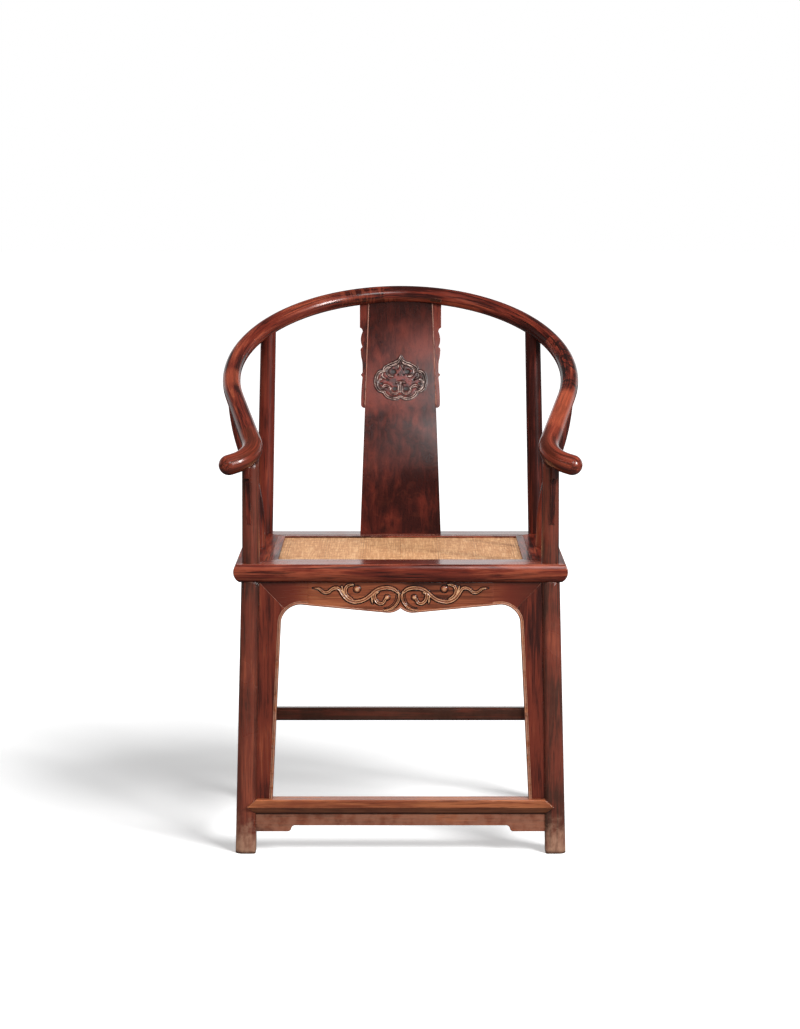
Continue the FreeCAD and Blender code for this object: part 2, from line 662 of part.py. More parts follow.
def grip_bracket_blank(name):
    """A thin board that stands against the front of the post and carries the hand grip."""
    slope = math.tan(SLOPE)
    post = size.front_post_top_diameter / 2
    under = FRONT_TOP.z - size.arm_diameter / 2 / math.cos(SLOPE)
    free = under - size.seat_height
    reach, waist = post + free * REACH_SHARE, post + free * WAIST_REACH_SHARE
    grip = under - reach * slope
    lip, waist_level, toe_level = (grip - (grip - size.seat_height) * share
                                   for share in (LIP_SHARE, WAIST_SHARE, TOE_SHARE))
    toe = (post + size.bracket_toe, toe_level)
    cove = (waist + (reach - waist) * (1 - CIRCLE_SHARE), waist_level + (lip - waist_level) * CIRCLE_SHARE)
    belly = ((waist + toe[0]) / 2 + size.bracket_toe, (waist_level + toe_level) / 2)
    outline = [(0, FRONT_TOP.z), (reach, FRONT_TOP.z - reach * slope), (reach, lip),
               (cove, (waist, waist_level)), (belly, toe), (0, toe_level)]
    place = move(FRONT_POST.x, FRONT_POST.y, 0).multiply(turned(Z_AXIS, size.bracket_turn_angle - 90))
    return prism(name, "XZ_Plane", outline, "bracket_thickness",
                 place.multiply(move(0, -size.bracket_thickness / 2, 0)))


pair("grip_bracket", cut(grip_bracket_blank("grip_bracket_blank"), front_leg_blank, arm_right_blank))


# The crest rail: two crown sections and two arms, scarfed together and locked by tapered keys

shoulder_upper = lap("shoulder_upper_half", SHOULDER_START, SHOULDER_END, True)
shoulder_lower = lap("shoulder_lower_half", SHOULDER_START, SHOULDER_END, False)
crown_upper = lap("crown_upper_half", CROWN_START, CROWN_END, True)
crown_lower = lap("crown_lower_half", CROWN_START, CROWN_END, False)
arm_tongue = tongue("arm_tongue", SHOULDER_START, False, True)
shoulder_tongue = tongue("shoulder_tongue", SHOULDER_END, True, False)
crown_right_tongue = tongue("crown_right_tongue", CROWN_START, False, True)
crown_left_tongue = tongue("crown_left_tongue", CROWN_END, True, False)
shoulder_wedge = key_wedge("shoulder_wedge", size.shoulder_joint_angle)
crown_wedge = key_wedge("crown_wedge", CROWN_MIDDLE)

arm = cut(arm_right_blank, shoulder_lower, shoulder_tongue, shoulder_wedge, side_post_top_tenon, front_tenon)
pair("arm", fuse(arm, arm_tongue))

crown_right = cut(ring("crown_right_blank", CROWN_START, SHOULDER_END), shoulder_upper, crown_lower,
                  arm_tongue, crown_left_tongue, shoulder_wedge, crown_wedge, rear_tenon, splat_top_tongue)
node("crown_right", fuse(crown_right, shoulder_tongue, crown_right_tongue))

crown_left = cut(ring("crown_left_blank", -SHOULDER_END, CROWN_END), mirror(shoulder_upper), crown_upper,
                 mirror(arm_tongue), crown_right_tongue, mirror(shoulder_wedge), crown_wedge,
                 mirror(rear_tenon), splat_top_tongue)
node("crown_left", fuse(crown_left, mirror(shoulder_tongue), crown_left_tongue))

pair("crest_key", common(shoulder_wedge, crown_blank))
node("crest_key_crown", common(crown_wedge, crown_blank))


# The aprons, with side strips in front and at the sides

def half_gap(post, splay, level):
    """Half of the space between two legs at a height."""
    return post + splay * splay_share(level) - leg_width_at(level) / 2


def front_gap(level):
    return half_gap(FRONT_POST.x, size.side_splay, level)


def rear_gap(level):
    return half_gap(REAR_POST.x, size.side_splay, level)


def side_gap(level):
    return half_gap((REAR_POST.y - FRONT_POST.y) / 2, size.depth_splay, level)


NOTCH_PLACE_SHARE, NOTCH_RISE_SHARE = 0.42, 0.22


def arched_apron(name, gap, foot_level, place, lean):
    """An apron and two side strips, mitred in the corners of a cusped opening.

    Local X runs across the opening, Z upwards from the underside of the seat and Y into the wood.
    """
    radius, top = size.apron_corner_radius, size.panel_tongue
    corner = gap(SEAT_UNDER) - size.strip_width

    def on_corner(quarters):
        angle = quarters * math.pi / 8
        return (corner - radius * (1 - math.sin(angle)), -size.apron_depth - radius * (1 - math.cos(angle)))

    def other(point):
        return (-point[0], point[1])

    mitre, high = on_corner(2), (gap(SEAT_UNDER) + size.panel_groove, top)
    notch = (0, size.apron_notch_rise - size.apron_lobe_depth)
    lobe = (size.apron_lobe_width, -size.apron_lobe_depth)
    beside = (size.apron_lobe_width * NOTCH_PLACE_SHARE,
              size.apron_notch_rise * NOTCH_RISE_SHARE - size.apron_lobe_depth)
    apron = [other(high), other(mitre), (other(on_corner(1)), other(on_corner(0))), other(lobe),
             (other(beside), notch), (beside, lobe), on_corner(0), (on_corner(1), mitre), high]
    foot = foot_level - SEAT_UNDER - size.panel_tongue
    foot_out = gap(foot_level) + size.panel_groove
    foot_in = gap(foot_level) - size.strip_foot_width
    strip = [mitre, high, (foot_out, foot), (foot_in, foot), on_corner(4), (on_corner(3), mitre)]
    far_strip = [other(point) for point in strip[:5]] + [(other(on_corner(3)), other(mitre))]
    leaning = place.multiply(turned(X_AXIS, -lean))
    outlines = {"_apron_board": apron, "_strip_board": strip, "_far_strip_board": far_strip}
    return [prism(name + word, "XZ_Plane", outline, "apron_thickness", leaning)
            for word, outline in outlines.items()]


FRONT_FACE = FRONT_POST.y - leg_width_at(SEAT_UNDER) / 2 + size.apron_setback
SIDE_FACE = REAR_POST.x + leg_width_at(SEAT_UNDER) / 2 - size.apron_setback
REAR_FACE = REAR_POST.y + leg_width_at(SEAT_UNDER) / 2 - size.apron_setback
MIDDLE_Y = (FRONT_POST.y + REAR_POST.y) / 2

front_boards = arched_apron("front", front_gap, size.footrest_height, move(0, FRONT_FACE, SEAT_UNDER),
                            DEPTH_LEAN)
side_boards = arched_apron("side", side_gap, size.side_stretcher_height,
                           move(SIDE_FACE, MIDDLE_Y, SEAT_UNDER).multiply(turned(Z_AXIS, 90)), SIDE_LEAN)
node("front_apron", front_boards[0])
node("front_apron_strip_right", front_boards[1])
node("front_apron_strip_left", front_boards[2])
pair("side_apron", side_boards[0])
pair("side_apron_rear_strip", side_boards[1])
pair("side_apron_front_strip", side_boards[2])


def headed_board(name, gap, top_level, depth, head, head_width, step_width, thickness_formula, place):
    """A board between two legs whose ends reach down as heads, each with a curved step."""
    low, top = -depth - head, size.panel_tongue
    high_half, low_half = (gap(level) + size.panel_groove for level in (top_level, top_level + low))
    inner = gap(top_level + low) - head_width
    outline = [(-high_half, top), (high_half, top), (low_half, low), (inner, low),
               *ogee((inner, low), (inner - step_width, -depth)), (step_width - inner, -depth),
               *ogee((step_width - inner, -depth), (-inner, low)), (-low_half, low)]
    return prism(name, "XZ_Plane", outline, thickness_formula, place)


rear_place = move(0, REAR_FACE, SEAT_UNDER).multiply(turned(Z_AXIS, 180))
rear_apron = headed_board(
    "rear_apron_board", rear_gap, SEAT_UNDER, size.rear_apron_depth, size.rear_apron_head,
    size.rear_apron_head_width, size.rear_apron_head, "apron_thickness",
    rear_place.multiply(turned(X_AXIS, -DEPTH_LEAN)))
node("rear_apron", rear_apron)


# The footrest with its apron, and the stretchers

FOOTREST_UNDER = size.footrest_height - size.footrest_face - size.footrest_under
FOOTREST_FRONT = (FRONT_POST.y - size.depth_splay * splay_share(size.footrest_height)
                  - leg_width_at(size.footrest_height) / 2 - size.footrest_overhang)

footrest_apron = headed_board(
    "footrest_apron_board", front_gap, FOOTREST_UNDER, size.footrest_apron_depth, size.footrest_apron_head,
    size.footrest_apron_head_width, size.footrest_apron_step_width, "footrest_apron_thickness",
    move(0, FOOTREST_FRONT + size.footrest_apron_setback, FOOTREST_UNDER))
node("footrest_apron", footrest_apron)


def stretcher_tenons(name, gap, level, place):
    """The tenons of a stretcher, as one bar along local X at its middle height."""
    half = gap(level) + size.stretcher_tenon
    spot = move(-half, -size.stretcher_tenon_thickness / 2, level - size.stretcher_tenon_height / 2)
    bar = primitive("Box", name, place.multiply(spot), Width="stretcher_tenon_thickness",
                    Height="stretcher_tenon_height")
    bar.Length = half * 2
    return bar


def footrest_blank():
    """A bar with a slanting underside whose pointed shoulders wrap round the fronts of the legs."""
    under = FOOTREST_UNDER - size.footrest_height
    section = [(size.footrest_depth, 0), (size.footrest_depth, under), (size.footrest_under_inset, under),
               (0, -size.footrest_face), *rounded_corner((0, 0), (0, 1), (1, 0), size.footrest_round)]
    bar = prism("footrest_bar", "YZ_Plane", section, "seat_width + overrun",
                move(-SEAT_SIDE - size.overrun / 2, FOOTREST_FRONT, size.footrest_height))
    high, low = front_gap(size.footrest_height), front_gap(FOOTREST_UNDER)
    point = (high + size.footrest_point, under / 2)
    elevation = [(-low, under), (low, under), point, (high, 0), (-high, 0), (-point[0], point[1])]
    points = prism("footrest_points", "XZ_Plane", elevation, "footrest_depth + overrun",
                   move(0, FOOTREST_FRONT - size.overrun / 2, size.footrest_height))
    return common(bar, points)


FOOTREST_MIDDLE = (size.footrest_height + FOOTREST_UNDER) / 2
FOOTREST_TENON_Y = FRONT_POST.y - size.depth_splay * splay_share(FOOTREST_MIDDLE)
footrest_tenons = stretcher_tenons("footrest_tenons", front_gap, FOOTREST_MIDDLE,
                                   move(0, FOOTREST_TENON_Y, 0))
footrest_body = cut(footrest_blank(), front_leg_blank, mirror(front_leg_blank))
footrest = fuse(footrest_body, footrest_tenons)
node("footrest", cut(footrest, front_boards[1], front_boards[2], footrest_apron))


def stretcher(name, gap, top_level, place):
    """A bar with rounded edges along local X, housed and tenoned into two legs."""
    level = top_level - size.stretcher_height / 2
    half = gap(level) + size.stretcher_housing
    section = rounded_rectangle(size.stretcher_depth / 2, size.stretcher_height / 2,
                                *[size.stretcher_round] * 4)
    body = new_body(name + "_bar")
    sketch = draw(new_sketch(body, "YZ_Plane", name + "_section", move(0, 0, -half)), *section)
    pad(body, sketch, half * 2)
    body.Placement = place.multiply(move(0, 0, level))
    return fuse(body, stretcher_tenons(name + "_tenons", gap, level, place))


SIDE_MIDDLE = size.side_stretcher_height - size.stretcher_height / 2
REAR_MIDDLE = size.rear_stretcher_height - size.stretcher_height / 2
SIDE_MIDDLE_X = (FRONT_POST.x + REAR_POST.x) / 2 + size.side_splay * splay_share(SIDE_MIDDLE)
REAR_MIDDLE_Y = REAR_POST.y + size.depth_splay * splay_share(REAR_MIDDLE)
side_stretcher = stretcher("side_stretcher", side_gap, size.side_stretcher_height,
                           move(SIDE_MIDDLE_X, MIDDLE_Y, 0).multiply(turned(Z_AXIS, 90)))
rear_stretcher = stretcher("rear_stretcher", rear_gap, size.rear_stretcher_height, move(0, REAR_MIDDLE_Y, 0))
pair("side_stretcher", cut(side_stretcher, side_boards[1], side_boards[2]))
node("rear_stretcher", rear_stretcher)


# The legs, with the mortises and grooves for all that enters them

front_leg = cut(front_leg_blank, arm_right_blank, front_boards[0], front_boards[1], *side_boards,
                footrest_apron, footrest_tenons, side_stretcher)
pair("front_leg", fuse(front_leg, front_tenon))
rear_leg = cut(rear_leg_blank, crown_blank, *side_boards, rear_apron, side_stretcher, rear_stretcher)
pair("rear_leg", fuse(rear_leg, rear_tenon))


# The seat: a mitred frame with tenons at its corners, braces, woven cane and the strips over its edge

def edge_profile(width):
    """The section of a frame member from its moulded outer edge to the ledge for the cane."""
    thickness, ledge = size.frame_thickness, width - size.ledge_width
    return [(size.edge_round_inset, 0),
            ((size.edge_bulge_inset, -size.edge_bulge_depth), (size.edge_tuck, -thickness)),
            (width, -thickness), (width, -size.ledge_depth), (ledge, -size.ledge_depth), (ledge, 0)]


INNER_X = SEAT_SIDE - size.side_member_width
INNER_FRONT = SEAT_FRONT + size.front_member_width
INNER_BACK = SEAT_BACK - size.front_member_width


def frame_member(name, width, length_formula, plan, place):
    profile = prism(name + "_profile", "YZ_Plane", edge_profile(width), length_formula, place)
    mitres = prism(name + "_mitres", "XY_Plane", plan, "frame_thickness", move(0, 0, SEAT_UNDER))
    return common(profile, mitres)


def frame_tenon(name, inset, from_front):
    """The tenons of the front or the back member, as one bar close beside the posts."""
    near = inset + size.post_diameter / 2 + size.frame_tenon_gap
    y = SEAT_FRONT + near if from_front else SEAT_BACK - near - size.frame_tenon_width
    level = (size.seat_height + SEAT_UNDER - size.frame_tenon_thickness) / 2
    return primitive("Box", name, move(size.frame_tenon_stop - SEAT_SIDE, y, level),
                     Length="seat_width - frame_tenon_stop * 2", Width="frame_tenon_width",
                     Height="frame_tenon_thickness")


def brace_outline():
    """The side of a bowed brace with its two tenons, in Y and Z."""
    top = size.seat_height - size.ledge_depth - size.brace_clearance
    low, bow, shoulder = top - size.brace_height, size.brace_bow, size.brace_shoulder
    middle = (INNER_FRONT + INNER_BACK) / 2
    front_end, back_end = INNER_FRONT - size.brace_tenon, INNER_BACK + size.brace_tenon
    return [(INNER_FRONT, low), (INNER_FRONT, low + shoulder), (front_end, low + shoulder),
            (front_end, top - shoulder), (INNER_FRONT, top - shoulder), (INNER_FRONT, top),
            ((middle, top - bow), (INNER_BACK, top)), (INNER_BACK, top - shoulder),
            (back_end, top - shoulder), (back_end, low + shoulder), (INNER_BACK, low + shoulder),
            (INNER_BACK, low), ((middle, low - bow), (INNER_FRONT, low))]


brace = prism("brace_board", "YZ_Plane", brace_outline(), "brace_width",
              move((size.brace_spacing - size.brace_width) / 2, 0, 0))
pair("seat_brace", brace)
other_brace = nodes["seat_brace_left"]
left_front_blank, left_rear_blank = mirror(front_leg_blank), mirror(rear_leg_blank)


def across_plan(outer, inner):
    return [(-SEAT_SIDE, outer), (SEAT_SIDE, outer), (INNER_X, inner), (-INNER_X, inner)]


front_plan, back_plan = across_plan(SEAT_FRONT, INNER_FRONT), across_plan(SEAT_BACK, INNER_BACK)
side_plan = [(SEAT_SIDE, SEAT_FRONT), (SEAT_SIDE, SEAT_BACK), (INNER_X, INNER_BACK), (INNER_X, INNER_FRONT)]
front_tenons = frame_tenon("front_frame_tenons", size.front_post_inset, True)
back_tenons = frame_tenon("back_frame_tenons", size.rear_post_inset, False)

front_member = frame_member("front_member", size.front_member_width, "seat_width", front_plan,
                            move(-SEAT_SIDE, SEAT_FRONT, size.seat_height))
back_member = frame_member("back_member", size.front_member_width, "seat_width", back_plan,
                           move(SEAT_SIDE, SEAT_BACK, size.seat_height).multiply(turned(Z_AXIS, 180)))
side_member = frame_member("side_member", size.side_member_width, "seat_depth", side_plan,
                           move(SEAT_SIDE, SEAT_FRONT, size.seat_height).multiply(turned(Z_AXIS, 90)))

node("seat_frame_front", cut(fuse(front_member, front_tenons), front_leg_blank, left_front_blank,
                             *front_boards, brace, other_brace))
node("seat_frame_back", cut(fuse(back_member, back_tenons), rear_leg_blank, left_rear_blank, rear_apron,
                            brace, other_brace, splat_foot_tongue))
pair("seat_frame_side", cut(side_member, front_tenons, back_tenons, front_leg_blank, rear_leg_blank,
                            *side_boards, front_boards[1], rear_apron, side_post_foot_tenon))

CANE_X = INNER_X + size.ledge_width
CANE_FRONT = INNER_FRONT - size.ledge_width
CANE_BACK = INNER_BACK + size.ledge_width
cane = primitive("Box", "cane_panel", move(-CANE_X, CANE_FRONT, size.seat_height - size.ledge_depth),
                 Length="seat_width - (side_member_width - ledge_width) * 2",
                 Width="seat_depth - (front_member_width - ledge_width) * 2", Height="cane_thickness")
node("cane_seat", cane)

STRIP = size.ledge_width + size.strip_lip
strip_level = move(0, 0, size.seat_height - size.ledge_depth + size.cane_thickness)


def across_strip(outer, inner):
    return [(-CANE_X, outer), (CANE_X, outer), (CANE_X - STRIP, inner), (STRIP - CANE_X, inner)]


front_strip = across_strip(CANE_FRONT, CANE_FRONT + STRIP)
back_strip = across_strip(CANE_BACK, CANE_BACK - STRIP)
side_strip = [(CANE_X, CANE_FRONT), (CANE_X, CANE_BACK), (CANE_X - STRIP, CANE_BACK - STRIP),
              (CANE_X - STRIP, CANE_FRONT + STRIP)]
node("cane_strip_front", prism("front_strip", "XY_Plane", front_strip, "strip_thickness", strip_level))
node("cane_strip_back", prism("back_strip", "XY_Plane", back_strip, "strip_thickness", strip_level))
pair("cane_strip", prism("side_strip", "XY_Plane", side_strip, "strip_thickness", strip_level))


# Checks, and one file for each piece

doc.recompute()
for thing in doc.Objects:
    if "Invalid" in thing.State or "Error" in thing.State:
        raise RuntimeError("%s could not be computed" % thing.Name)
os.makedirs("parts", exist_ok=True)
for name, thing in nodes.items():
    shape = thing.Shape
    if shape.isNull() or not shape.isValid() or len(shape.Solids) != 1:
        raise RuntimeError("%s is not one valid solid" % name)
    shape.exportStep("parts/%s.step" % name)
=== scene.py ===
"""The looks of a horseshoe back armchair: polished rosewood, carved aprons and a woven cane seat.

X runs to the right as seen from the front, Y from the front to the back and Z upwards, in metres.
"""

import math

import bmesh
import bpy
import numpy as np
from bpy.props import FloatProperty, FloatVectorProperty, PointerProperty
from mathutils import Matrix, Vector
from mathutils.bvhtree import BVHTree


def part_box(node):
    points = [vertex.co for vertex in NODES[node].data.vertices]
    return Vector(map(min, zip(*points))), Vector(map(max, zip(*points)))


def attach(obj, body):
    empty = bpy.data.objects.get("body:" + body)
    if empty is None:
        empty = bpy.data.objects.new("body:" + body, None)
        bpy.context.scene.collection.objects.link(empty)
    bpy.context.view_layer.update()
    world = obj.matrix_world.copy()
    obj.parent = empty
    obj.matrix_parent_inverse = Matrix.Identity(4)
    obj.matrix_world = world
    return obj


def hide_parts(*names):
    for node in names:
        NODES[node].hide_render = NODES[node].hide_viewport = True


bl_info = {
    "name": "Horseshoe back armchair",
    "version": (1, 0, 0),
    "blender": (4, 5, 0),
    "location": "3D View > Sidebar > Armchair",
    "description": "Finishes, carvings and the woven seat of a horseshoe back armchair",
    "category": "Object",
}

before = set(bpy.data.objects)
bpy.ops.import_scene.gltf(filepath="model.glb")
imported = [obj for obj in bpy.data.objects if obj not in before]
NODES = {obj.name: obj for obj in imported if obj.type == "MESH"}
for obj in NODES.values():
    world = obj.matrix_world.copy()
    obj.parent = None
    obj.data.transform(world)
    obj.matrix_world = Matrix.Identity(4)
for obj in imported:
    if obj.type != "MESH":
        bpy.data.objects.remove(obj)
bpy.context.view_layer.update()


# Sizes and colours that a user would change


def colour(name, description, value):
    return FloatVectorProperty(name=name, description=description, default=value, subtype="COLOR", size=3,
                               min=0, max=1)


def length(name, description, value):
    return FloatProperty(name=name, description=description, default=value, unit="LENGTH", precision=5)


def share(name, description, value):
    return FloatProperty(name=name, description=description, default=value, min=0, max=1, subtype="FACTOR")


def angle(name, description, degrees):
    return FloatProperty(name=name, description=description, default=math.radians(degrees), unit="ROTATION")


def power(name, description, watts):
    return FloatProperty(name=name, description=description, default=watts, unit="POWER")


def ratio(name, description, value):
    return FloatProperty(name=name, description=description, default=value)


class RosewoodLook(bpy.types.PropertyGroup):
    """The dark red rosewood of the rail, the legs and the seat frame."""
    body: colour("Body", "Red-brown ground of the wood", (0.110, 0.0170, 0.0098))
    dark: colour("Dark", "Dark figure in the wood", (0.025, 0.0052, 0.0040))
    light: colour("Light", "Light figure in the wood", (0.235, 0.050, 0.024))
    # Streak: the nearly black grain lines, and also the colour of the painted shade on ends, under levels,
    # below tops and on the legs' edges
    streak_and_shade: colour("Streak", "Nearly black lines along the grain", (0.009, 0.0035, 0.003))
    # Silvered: the bare ridges of the medallion, partly wear and partly a painted highlight
    silvered_and_highlight: colour("Silvered", "Bare ridges of the medallion", (0.50, 0.38, 0.33))
    worn: colour("Worn", "Edges where the polish has worn", (0.34, 0.165, 0.105))
    pale: colour("Pale", "Pale wood of the worn carving and its border", (0.52, 0.29, 0.155))
    pale_body: colour("Pale body", "Ground of the orange-brown wood", (0.235, 0.066, 0.028))
    pale_dark: colour("Pale dark", "Dark figure of the orange-brown wood", (0.062, 0.018, 0.009))
    pale_light: colour("Pale light", "Light figure of the orange-brown wood", (0.40, 0.145, 0.057))
    pale_rail: colour("Pale rail", "Paler stretches of the crest rail", (0.43, 0.090, 0.040))
    scuffed: colour("Scuffed", "Scuffed feet of the legs", (0.36, 0.195, 0.125))
    # Hollow: darkens the hollows of the carvings, partly dirt and partly painted shade
    hollow: colour("Hollow", "Dirt in the hollows of the carvings", (0.012, 0.0075, 0.006))
    red_ground: colour("Red ground", "Ground inside the cartouche", (0.15, 0.014, 0.009))
    figure_size: length("Figure size", "Width of one band of the figure", 0.0075)
    streak_size: length("Streak size", "Width of the fine dark lines", 0.0026)
    pore_size: length("Pore size", "Width of the pores", 0.0009)
    roughness: share("Roughness", "Roughness of the polish", 0.17)
    edge_radius: length("Edge radius", "How far the wear reaches from an edge", 0.0016)
    stripe_size: length("Stripe size", "Width of the bands across the left half of the back", 0.0045)


class RailSize(bpy.types.PropertyGroup):
    """The route of the crest rail, which its grain follows."""
    radius: length("Radius", "Radius of the round back", 0.312)
    half_turn: angle("Half turn", "Half of the turn of the round back", 103.5)
    arm_run: length("Arm run", "Straight run of an arm", 0.164)
    grip_radius: length("Grip radius", "Radius of the turn of a hand grip", 0.062)
    grip_turn: angle("Grip turn", "Turn of a hand grip", 73.5)
    grip_end: length("Grip end", "Straight end of a hand grip before its round tip", 0.009)
    slope: angle("Slope", "Slope of the rail's plane", 26.2)
    core_radius: length("Core radius", "Radius of the dark core that closes the joints", 0.0159)
    back_reach: length("Back reach", "Back of the rail behind the middle of the chair", 0.278)
    height: length("Height", "Back of the rail above the floor", 0.977)


class CarvingSize(bpy.types.PropertyGroup):
    """The relief on the front apron and on the splat, and the bead round the openings."""
    rise: length("Rise", "How far the tendrils stand out", 0.0032)
    ground: length("Ground", "How far the wood round the tendrils stands out", 0.0007)
    ditch: length("Ditch", "How deep the ground is cut beside the tendrils", 0.0006)
    grid: length("Grid", "Distance between the points of the carved surface", 0.0008)
    reach: length("Reach", "How far the carving goes from the middle of the apron", 0.168)
    top: length("Top", "Top of the carved part of the apron, above the floor", 0.4925)
    bead_radius: length("Bead radius", "Radius of the bead round the openings", 0.0019)
    bead_inset: length("Bead inset", "Middle of that bead from the edge", 0.0021)
    # Painted highlight: a pale line along the splat's edge beside each spandrel
    line_radius: length("Line radius", "Radius of the thin line beside the bead", 0.0008)
    line_inset: length("Line inset", "Middle of that line from the edge", 0.0052)
    joint_highlight_radius: length("Joint radius", "Radius of the worn line beside each spandrel", 0.0010)
    medallion_width: length("Medallion width", "Width of the carved board of the medallion", 0.116)
    medallion_low: length("Medallion foot", "Lower end of that board, above the floor", 0.766)
    medallion_high: length("Medallion head", "Upper end of that board, above the floor", 0.866)
    medallion_rise: length("Medallion rise", "How far its rim stands out", 0.0030)
    medallion_scale: ratio("Cartouche scale", "Scale of the cartouche's lines", 0.95)


class CaneSize(bpy.types.PropertyGroup):
    """The woven seat."""
    pitch: length("Pitch", "Distance from one strand to the next", 0.0046)
    relief: length("Relief", "Height of the weave", 0.0006)
    grid: length("Grid", "Distance between the points of the woven surface", 0.0015)
    light: colour("Light", "Sunlit strands", (0.62, 0.36, 0.185))
    bright: colour("Bright", "Palest specks of the strands", (0.64, 0.41, 0.24))
    dark: colour("Dark", "Darkened strands", (0.36, 0.165, 0.075))
    # Gap: painted shade between the strands
    gap: colour("Gap", "Between the strands", (0.14, 0.06, 0.025))


class StageLook(bpy.types.PropertyGroup):
    """The camera, the lamps and the floor."""
    camera_x: length("Camera X", "Place of the camera", -0.001)
    camera_y: length("Camera Y", "Place of the camera", -5.262)
    camera_z: length("Camera height", "Place of the camera", 1.2546)
    camera_pitch: angle("Pitch", "Tilt of the camera from straight down", 82.71)
    lens: FloatProperty(name="Lens", description="Focal length", default=128.23, unit="CAMERA")
    key_power: power("Key", "Power of the right lamp", 100)
    fill_power: power("Fill", "Power of the left lamp", 74)
    top_power: power("Top", "Power of the overhead lamp", 78)
    sheen_power: power("Sheen", "Power of the faint lamp before the splat", 44)
    rear_power: power("Rear", "Power of the lamp behind the chair", 65)
    shade_power: power("Shade", "Power of the lamp that lights the floor alone", 1600)
    sky: ratio("Sky", "Strength of the light from all round", 0.10)
    studio: ratio("Studio", "Strength of the dark studio that the polish shows", 0.12)
    floor: share("Floor", "Brightness of the floor as it is seen", 0.74)
    bounce: share("Bounce", "Brightness of the floor as the chair sees it", 0.16)
    near_glow: ratio("Near glow", "Floor's own light under the chair", 0.50)
    glow_start: length("Glow start", "Where the floor's own light begins to grow", 0.5)
    glow_end: length("Glow end", "Where the floor is as bright as the background", 2.3)


# Node helpers


def add(tree, kind, inputs=None, **settings):
    """Adds a shader node. Its inputs are given values, or sockets to join."""
    made = tree.nodes.new("ShaderNode" + kind)
    for name, value in settings.items():
        setattr(made, name, value)
    for name, value in (inputs or {}).items():
        socket = made.inputs[name]
        if isinstance(value, bpy.types.NodeSocket):
            tree.links.new(value, socket)
        elif socket.type == "RGBA" and len(value) == 3:
            socket.default_value = (*value, 1)
        else:
            socket.default_value = value
    return made


def noise(tree, vector, size, detail=3.0, roughness=0.55, distortion=0.0):
    """A noise whose patches are about one size wide."""
    return add(tree, "TexNoise", {"Vector": vector, "Scale": 1 / size, "Detail": detail,
                                  "Roughness": roughness, "Distortion": distortion}).outputs["Fac"]


def ramp(tree, factor, low, high, start=0.0, end=1.0):
    """A value that climbs smoothly from one level to another while the factor goes from low to high."""
    made = add(tree, "MapRange", {"Value": factor, "From Min": low, "From Max": high, "To Min": start,
                                  "To Max": end}, interpolation_type="SMOOTHSTEP", clamp=True)
    return made.outputs["Result"]


def blend(tree, factor, first, second):
    """The first colour where the factor is 0, and the second where it is 1."""
    made = add(tree, "Mix", data_type="RGBA")
    for place, value in ((0, factor), (6, first), (7, second)):
        socket = made.inputs[place]
        if isinstance(value, bpy.types.NodeSocket):
            tree.links.new(value, socket)
        elif place == 0:
            socket.default_value = value
        else:
            socket.default_value = (*value, 1)
    return made.outputs[2]


def maths(tree, how, first, second=0.5, third=0.0):
    """The result of a sum on numbers or sockets."""
    made = add(tree, "Math", {0: first, 1: second, 2: third}, operation=how)
    return made.outputs[0]


def times(tree, first, second):
    return maths(tree, "MULTIPLY", first, second)


def window(tree, value, low, high, soft):
    """One between two values, and zero outside them."""
    return times(tree, ramp(tree, value, low - soft, low + soft), ramp(tree, value, high + soft, high - soft))


def scaled(tree, place, scale):
    """Coordinates in which a pattern is drawn out along the axes whose scale is small."""
    return add(tree, "Mapping", {"Vector": place, "Scale": scale}).outputs["Vector"]


def stored(tree, name):
    """What an attribute stored on the mesh gives."""
    return add(tree, "Attribute", attribute_name=name, attribute_type="GEOMETRY").outputs


def object_place(tree):
    """The place of a point, in metres."""
    return add(tree, "TexCoord").outputs["Object"]


def axis(tree, vector, name):
    return add(tree, "SeparateXYZ", {0: vector}).outputs[name]


def level_above_floor(tree):
    return axis(tree, object_place(tree), "Z")


def rounded_normal(tree, true, radius, samples):
    """The normal rounded over a radius, and how well it agrees with the true one."""
    soft = add(tree, "Bevel", {"Radius": radius}, samples=samples).outputs["Normal"]
    return soft, add(tree, "VectorMath", {0: soft, 1: true}, operation="DOT_PRODUCT").outputs["Value"]


def new_material(name):
    """A material with its node tree and its shader, joined to the output."""
    material = bpy.data.materials.new(name)
    material.use_nodes = True
    tree = material.node_tree
    tree.nodes.clear()
    shader = add(tree, "BsdfPrincipled")
    output = add(tree, "OutputMaterial")
    tree.links.new(shader.outputs["BSDF"], output.inputs["Surface"])
    return material, tree, shader


# Rosewood

GRAIN_TURNS = {"Z": (0, 0, 0), "X": (0, math.pi / 2, 0), "Y": (math.pi / 2, 0, 0), "rail": (0, 0, 0)}
# Each piece is cut from another place in the wood, this far along for each step of its cut number
CUT_STEP = (0.31, 0.17, 0.73)
ALONG_FIGURE, ALONG_STREAK, ALONG_PORE, ALONG_SCRATCH = 0.06, 0.03, 0.03, 0.3
BUMP_DEPTH, WAVE_DEPTH, WAVE_SIZE = 0.00008, 0.00035, 0.05
CLOUD_SIZE, RUB_SIZE, BLOT_SIZE, GATHER_SIZE = 0.17, 0.018, 0.028, 0.03
SCRATCH_SIZE, SHADE_SIZE = 0.008, 0.009
# How far the upper edge of a scuffed foot wanders, and half the soft edge of a shadow below a level
FOOT_WANDER, UNDER_SOFT = 0.12, 0.0015


def stretched(tree, place, along):
    """Coordinates in which the grain, along Z, is drawn out."""
    return scaled(tree, place, (1, 1, along))


def grain_place(tree, grain, cut):
    """The coordinates that a piece's grain comes from, and the same with the grain along Z."""
    source = stored(tree, "grain")["Vector"] if grain == "rail" else object_place(tree)
    place = add(tree, "Mapping", {"Vector": source, "Rotation": GRAIN_TURNS[grain],
                                  "Location": [cut * step for step in CUT_STEP]}).outputs["Vector"]
    return source, place


